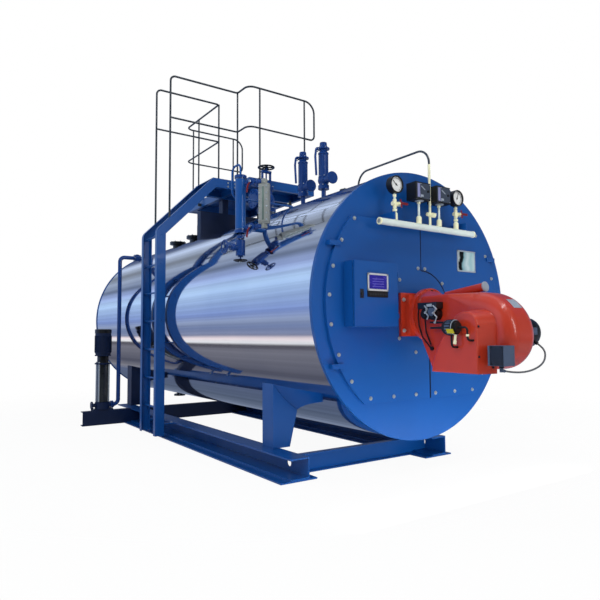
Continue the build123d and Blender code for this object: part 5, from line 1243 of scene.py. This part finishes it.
# %% [markdown]
# ## Tread plate
#
# The deck is tread plate: rows of raised bars that alternate in direction. Drawn in the shading
# alone they would vanish at the deck's edge, and so few bars cost little as boxes. Every second
# bar turns towards one far centre and the rest towards another, which sets them at right angles.

# %% Tread plate
tread_pitch, tread_z = 0.030, 2.9192
bars = []
for i in range(56):
    for j in range(30):
        x, y = -0.140 + tread_pitch * j, 1.800 + tread_pitch * i
        if x < 0.745 and y < 3.490:
            bars.append((x, y, tread_z))
for label, spots, far_y in (("a", bars[0::2], 60.0), ("b", bars[1::2], -60.0)):
    put_boxes(
        "tread_" + label, spots, (0.022, 0.006, 0.0016), (60.0, far_y, tread_z), upward, blue_enamel)
print("tread bars", len(bars))

# %% [markdown]
# ## Skid and rear end
#
# Bolts hold the skid to its base plates. The rear end has a round cover with a ring of bolts and
# a bent grip. It isn't seen in the photograph, so it stays plain, and the trees that made the
# front's trim make this too.

# %% Skid and rear end
base_bolts = [(x, y, 0.012) for x in (-0.730, 0.800) for y in (0.02, 1.20, 2.60, 3.80)]
bolt_up("base_bolts", base_bolts, "+z", 0.012, 0.010, 0.018)
rear_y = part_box("rear_cover")[1].y
cover_z, grip_x, grip_in, grip_out = 1.074, 0.12, rear_y - 0.004, rear_y + 0.050
cover_ring = circle((0, rear_y, cover_z), 0.520, 20, "y")
bolt_up("rear_cover_bolts", cover_ring, "+y", 0.012, 0.010, 0.017)
grip_path = [
    (-grip_x, grip_in, cover_z), (-grip_x, grip_out, cover_z),
    (grip_x, grip_out, cover_z), (grip_x, grip_in, cover_z)]
run_tube("rear_grip", grip_path, 0.008, 0.02, navy_enamel)
print("base bolts", len(base_bolts), "cover bolts", len(cover_ring))

# %% [markdown]
# ## Feed pump
#
# A vertical multistage pump: a dark sleeve between two castings, held by four pale tie rods, with
# a finned motor on a coupling above it. Fins, rods and nuts repeat, so they come from the trees.

# %% Feed pump
qx, qy = -1.290, 3.522
rod_low_z, rod_high_z, rod_ring_r, fin_z = 0.288, 0.764, 0.084, 1.005
lathe(
    "pump_sleeve", (qx, qy, 0.284), upward,
    [(0.0703, 0), (0.0718, 0.002), (0.0718, 0.460), (0.0703, 0.464)], dark_steel, count=56)
rod_nuts = circle((qx, qy, 0.767), rod_ring_r, 4, "z", diagonal)
bolt_up("rod_nuts", rod_nuts, "+z", 0.010, 0.010, 0.013)
fins = circle((qx, qy, fin_z), 0.098, 40, "z")
# the motor's fins take the painted shade blue
put_boxes("pump_motor_fins", fins, (0.010, 0.003, 0.210), (qx, qy, fin_z), upward, painted_shade_blue)
lathe(
    "pump_fan_cover", (qx, qy, 1.140), upward,
    [(0.0975, 0), (0.1015, 0.003), (0.1015, 0.046), (0.092, 0.0515)], black_enamel, count=56)
slab(
    "pump_terminal_box", (qx - 0.045, qy + 0.094, 0.960), (qx + 0.045, qy + 0.140, 1.060),
    black_plastic, root, 0.004)
for i, (x, y, z) in enumerate(circle((qx, qy, rod_low_z), rod_ring_r, 4, "z", diagonal)):
    run_tube("pump_rod_%d" % i, [(x, y, z), (x, y, rod_high_z)], 0.0105, 0.0, zinc)
lathe(
    "pump_coupling", (qx, qy, 0.770), upward,
    [(0.0665, 0), (0.0690, 0.002), (0.0690, 0.080), (0.0665, 0.084)], black_enamel, count=44)
foot_bolts = [(qx + dx, qy + dy, 0.196) for dx in (-0.108, 0.108) for dy in (-0.030, 0.030)]
bolt_up("pump_foot_bolts", foot_bolts, "+z", 0.009, 0.008, 0.012)
print("pump fins", len(fins), "rods", len(rod_nuts))

# %% [markdown]
# ## Feed pipe
#
# The pipe leaves the pump through a pair of flanges and enters the shell behind a check valve
# with a hexagon cap. Flanges and cap are turned shapes, so the lathe function makes them, with
# six sides for the cap.

# %% Feed pipe
feed_z, check_z = 0.242, 2.127
feed_flange = [(0.026, 0), (0.046, 0.001), (0.046, 0.013), (0.026, 0.014)]
for x, label in ((qx + 0.100, "in"), (qx + 0.118, "out")):
    lathe("feed_flange_" + label, (x, qy, feed_z), rightward, feed_flange, navy_enamel, count=40)
flange_ring = circle((qx + 0.132, qy, feed_z), 0.037, 4, "x", diagonal)
bolt_up("feed_flange_bolts", flange_ring, "+x", 0.006, 0.006, 0.008)
for x, label, way in ((-0.905, "near", "-x"), (-0.831, "far", "+x")):
    ring = circle((x, qy, check_z), 0.040, 6, "x")
    bolt_up("check_bolts_" + label, ring, way, 0.005, 0.005, 0.006)
lathe(
    "check_cap", (-0.868, qy, 2.160), upward,
    [(0.020, 0), (0.024, 0.003), (0.024, 0.014), (0.016, 0.018)], navy_enamel, count=6)
print("feed flange bolts", len(flange_ring))

# %% [markdown]
# ## The burner's motor cable
#
# The cable leaves an elbow under the terminal box, hangs free and loops up to the motor.
# It follows the same route points as the construction model, as a smooth spline.

# %% Cable
route = [
    (-0.2603, -1.6064, 0.8716),
    (-0.2020, -1.6081, 0.8628),
    (-0.1123, -1.6244, 0.8576),
    (-0.0223, -1.6344, 0.8666),
    (0.0617, -1.6364, 0.8886),
    (0.1357, -1.6224, 0.9156),
    (0.1937, -1.5984, 0.9456),
    (0.2357, -1.5724, 0.9776),
    (0.2500, -1.5442, 1.0091),
    (0.2500, -1.5081, 1.0343),
]
curve = bpy.data.curves.new("burner_cable_line", "CURVE")
curve.dimensions = "3D"
spline = curve.splines.new("NURBS")
spline.points.add(len(route) - 1)
for point, spot in zip(spline.points, route):
    point.co = (*spot, 1.0)
spline.order_u = 3
spline.use_endpoint_u = True
curve.bevel_depth = 0.006
curve.bevel_resolution = 6
curve.use_fill_caps = True
cable = bpy.data.objects.new("motor_cable", curve)
scene.collection.objects.link(cable)
curve.materials.append(cable_sheath)
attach(cable, root)
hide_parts("burner_cable")
print("cable points", len(route))

# %% [markdown]
# ## Floor
#
# The camera sees a plain pale floor that fades into a white room. Only camera rays get its glow,
# so that it lights nothing, and reflected rays pass through it, because the polished sheet is
# to mirror the surround below and not this white sheet.

# %% Floor
reach, glow_part = 40, 0.94
fade_from, fade_to, fade_centre = 2.5, 7.0, (0.0, 2.0, 0.0)
floor_mesh = bpy.data.meshes.new("floor")
floor_mesh.from_pydata(
    [(-reach, -reach, 0), (reach, -reach, 0), (reach, reach, 0), (-reach, reach, 0)],
    [], [(0, 1, 2, 3)])
floor = bpy.data.objects.new("floor", floor_mesh)
scene.collection.objects.link(floor)
floor_paint, tree, out = blank_material("pale_floor")
rays = add(tree, "ShaderNodeLightPath").outputs
spot = add(tree, "ShaderNodeTexCoord")
pale_tone = add(
    tree, "ShaderNodeMix", {"Factor": mottle(tree, 900.0)}, {"data_type": "RGBA"},
    {6: lin("#eceef0"), 7: lin("#f4f5f6")})
pale = add(tree, "ShaderNodeBsdfDiffuse", {"Color": pale_tone.outputs[2]}, Roughness=0.5)
glow = add(tree, "ShaderNodeEmission", Color=(1.0, 1.0, 1.0, 1.0), Strength=1.0)
glow_share = add(
    tree, "ShaderNodeMath", {0: rays["Is Camera Ray"]}, {"operation": "MULTIPLY"}, {1: glow_part})
lit_floor = add(
    tree, "ShaderNodeMixShader", {0: glow_share.outputs[0], 1: pale.outputs[0], 2: glow.outputs[0]})
distance = add(
    tree, "ShaderNodeVectorMath", {0: spot.outputs["Object"]}, {"operation": "DISTANCE"},
    {1: fade_centre})
fade = add(
    tree, "ShaderNodeMapRange", {"Value": distance.outputs["Value"]},
    {"interpolation_type": "SMOOTHSTEP"}, From_Min=fade_from, From_Max=fade_to)
seen = add(
    tree, "ShaderNodeMath", {0: fade.outputs[0], 1: rays["Is Camera Ray"]}, {"operation": "MULTIPLY"})
hidden = add(
    tree, "ShaderNodeMath", {0: seen.outputs[0], 1: rays["Is Glossy Ray"]}, {"operation": "MAXIMUM"})
nothing = add(tree, "ShaderNodeBsdfTransparent")
final = add(
    tree, "ShaderNodeMixShader", {0: hidden.outputs[0], 1: lit_floor.outputs[0], 2: nothing.outputs[0]})
tree.links.new(final.outputs[0], out.inputs["Surface"])
floor_mesh.materials.append(floor_paint)
print("floor fades from", fade_from, "to", fade_to, "m")

# %% [markdown]
# ## Surround
#
# Polished sheet needs something to mirror. Reflected rays see a banded room, laid out by the angle
# about the boiler's length, with fine streaks along it. A ray that leaves forwards, as off the
# front plate, sees the front room instead: floor, a paler strip at eye height and a dim hall.
# All other rays see an even, faintly cool light, and the camera sees white.

# %% Surround
world = bpy.data.worlds.new("studio")
scene.world = world
world.use_nodes = True
tree = world.node_tree
tree.nodes.clear()
out = add(tree, "ShaderNodeOutputWorld")
rays = add(tree, "ShaderNodeLightPath").outputs
aim = add(tree, "ShaderNodeTexCoord")
part = add(tree, "ShaderNodeSeparateXYZ", {0: aim.outputs["Generated"]}).outputs
left_of = add(tree, "ShaderNodeMath", {0: part["X"]}, {"operation": "MULTIPLY"}, {1: -1.0})
angle = add(tree, "ShaderNodeMath", {0: part["Z"], 1: left_of.outputs[0]}, {"operation": "ARCTAN2"})
turned = add(
    tree, "ShaderNodeMapRange", {"Value": angle.outputs[0]}, From_Min=-math.pi, From_Max=math.pi)
# round the boiler's length: far wall, floor under it, near floor, its bright edge, wall, roof
bands = add(tree, "ShaderNodeValToRGB", {0: turned.outputs[0]})
set_stops(bands.color_ramp, [
    (0.000, "#8e9ab4"), (0.160, "#566278"), (0.245, "#5c6884"), (0.270, "#86868f"), (0.300, "#555766"),
    (0.375, "#7a7a85"), (0.398, "#55535d"), (0.407, "#ffffff"), (0.420, "#ffeced"), (0.430, "#8890ac"),
    (0.455, "#7685aa"), (0.475, "#98a6c4"), (0.500, "#849ad0"), (0.590, "#bad8fc"), (0.630, "#a8bcec"),
    (0.660, "#72809c"), (0.710, "#a4b2ca"), (0.745, "#7a828e"), (0.805, "#c6d6f2"), (0.850, "#5c6888"),
    (0.920, "#34446c"), (1.000, "#8e9ab4")])
streak_count = 70.0
fine_angle = add(
    tree, "ShaderNodeMath", {0: turned.outputs[0]}, {"operation": "MULTIPLY"}, {1: streak_count})
streak_at = add(tree, "ShaderNodeCombineXYZ", {"X": fine_angle.outputs[0], "Y": part["Y"]})
streaks = add(
    tree, "ShaderNodeTexNoise", {"Vector": streak_at.outputs[0]}, Scale=1.0, Detail=3.0, Roughness=0.6)
streak_gain = add(
    tree, "ShaderNodeMapRange", {"Value": streaks.outputs["Fac"]},
    From_Min=noise_low, From_Max=noise_high, To_Min=0.78, To_Max=1.22)
sides = add(
    tree, "ShaderNodeBackground", {"Color": bands.outputs[0], "Strength": streak_gain.outputs[0]})
height = add(tree, "ShaderNodeMapRange", {"Value": part["Z"]}, From_Min=-1.0, From_Max=1.0)
front_bands = add(tree, "ShaderNodeValToRGB", {0: height.outputs[0]})
set_stops(front_bands.color_ramp, [
    (0.00, "#a0a0a4"), (0.36, "#8c9098"), (0.44, "#50555e"), (0.50, "#7c8894"),
    (0.56, "#3c434e"), (0.75, "#3a4048"), (0.90, "#7c828a"), (1.00, "#9aa0a8")])
front_room = add(tree, "ShaderNodeBackground", {"Color": front_bands.outputs[0]}, Strength=1.0)
ahead_share = add(
    tree, "ShaderNodeMapRange", {"Value": part["Y"]}, {"interpolation_type": "SMOOTHSTEP"},
    From_Min=-0.45, From_Max=-0.15, To_Min=1.0, To_Max=0.0)
banded = add(
    tree, "ShaderNodeMixShader",
    {0: ahead_share.outputs[0], 1: sides.outputs[0], 2: front_room.outputs[0]})
room = add(tree, "ShaderNodeBackground", Color=(0.94, 0.97, 1.0, 1.0), Strength=0.40)
back = add(tree, "ShaderNodeBackground", Color=(1.0, 1.0, 1.0, 1.0), Strength=1.0)
lit = add(
    tree, "ShaderNodeMixShader", {0: rays["Is Glossy Ray"], 1: room.outputs[0], 2: banded.outputs[0]})
whole = add(
    tree, "ShaderNodeMixShader", {0: rays["Is Camera Ray"], 1: lit.outputs[0], 2: back.outputs[0]})
tree.links.new(whole.outputs[0], out.inputs["Surface"])
print("bands", len(bands.color_ramp.elements), "front", len(front_bands.color_ramp.elements))

# %% [markdown]
# ## Lights
#
# Large soft lamps from the upper left and above shape the boiler without hard shadows, and a low
# strip lights the front plate's foot as a bright floor would. Only the window and the roof
# strip are mirrored: they give the castings and the burner their streaks.

# %% Lights
def soft_light(name, place, target, width, height, power, mirrored=False):
    """A rectangular area light aimed at a point."""
    data = bpy.data.lights.new(name, "AREA")
    data.shape = "RECTANGLE"
    data.size = width
    data.size_y = height
    data.energy = power
    lamp = bpy.data.objects.new(name, data)
    scene.collection.objects.link(lamp)
    turn = (Vector(target) - Vector(place)).to_track_quat("-Z", "Y").to_matrix().to_4x4()
    lamp.matrix_world = Matrix.Translation(place) @ turn
    lamp.visible_glossy = mirrored
    lamp.visible_camera = False


soft_light("key_left", (-6.0, -3.5, 5.5), (0, 0.5, 1.2), 3.0, 2.4, 170)
soft_light("window", (0.9, -7.0, 3.4), (0, -1.0, 1.6), 0.7, 3.2, 60, mirrored=True)
soft_light("roof_strip", (0.6, -3.5, 6.2), (0, -0.8, 1.8), 3.0, 0.35, 45, mirrored=True)
soft_light("front_right", (3.2, -3.4, 2.0), (0.6, -0.6, 1.2), 1.6, 1.6, 20)
soft_light("floor_bounce", (0.0, -1.35, 0.04), (0, -0.62, 0.42), 2.4, 0.30, 21)
soft_light("top", (0.5, 2.0, 8.0), (0, 2.0, 1.0), 3.0, 7.0, 190)
print("lamps", len(bpy.data.lights))

# %% [markdown]
# ## Camera
#
# The camera stands where the photograph was taken. It could be set by eye, but its place, turn
# and focal length come from a fit of the boiler's outlines, so that what is compared lines up.
# The focal length is in pixels of a 600 pixel frame.

# %% Camera
eye = Vector((-3.2962, -3.774, 1.0996))
yaw, pitch, roll = math.radians(34.629), math.radians(3.601), math.radians(-0.322)
sensor_mm, focal_px, frame_px = 36.0, 562.58, 600.0
ahead = Vector((math.sin(yaw) * math.cos(pitch), math.cos(yaw) * math.cos(pitch), math.sin(pitch)))
flat_right = Vector((math.cos(yaw), -math.sin(yaw), 0))
flat_up = flat_right.cross(ahead)
right = flat_right * math.cos(roll) + flat_up * math.sin(roll)
up = flat_up * math.cos(roll) - flat_right * math.sin(roll)
camera_data = bpy.data.cameras.new("photo_camera")
camera_data.sensor_width = sensor_mm
camera_data.lens = sensor_mm * focal_px / frame_px
camera = bpy.data.objects.new("photo_camera", camera_data)
scene.collection.objects.link(camera)
camera.matrix_world = Matrix((
    (right.x, up.x, -ahead.x, eye.x), (right.y, up.y, -ahead.y, eye.y),
    (right.z, up.z, -ahead.z, eye.z), (0, 0, 0, 1)))
scene.camera = camera
scene.view_settings.view_transform = "Standard"
print("camera lens", round(camera_data.lens, 3))
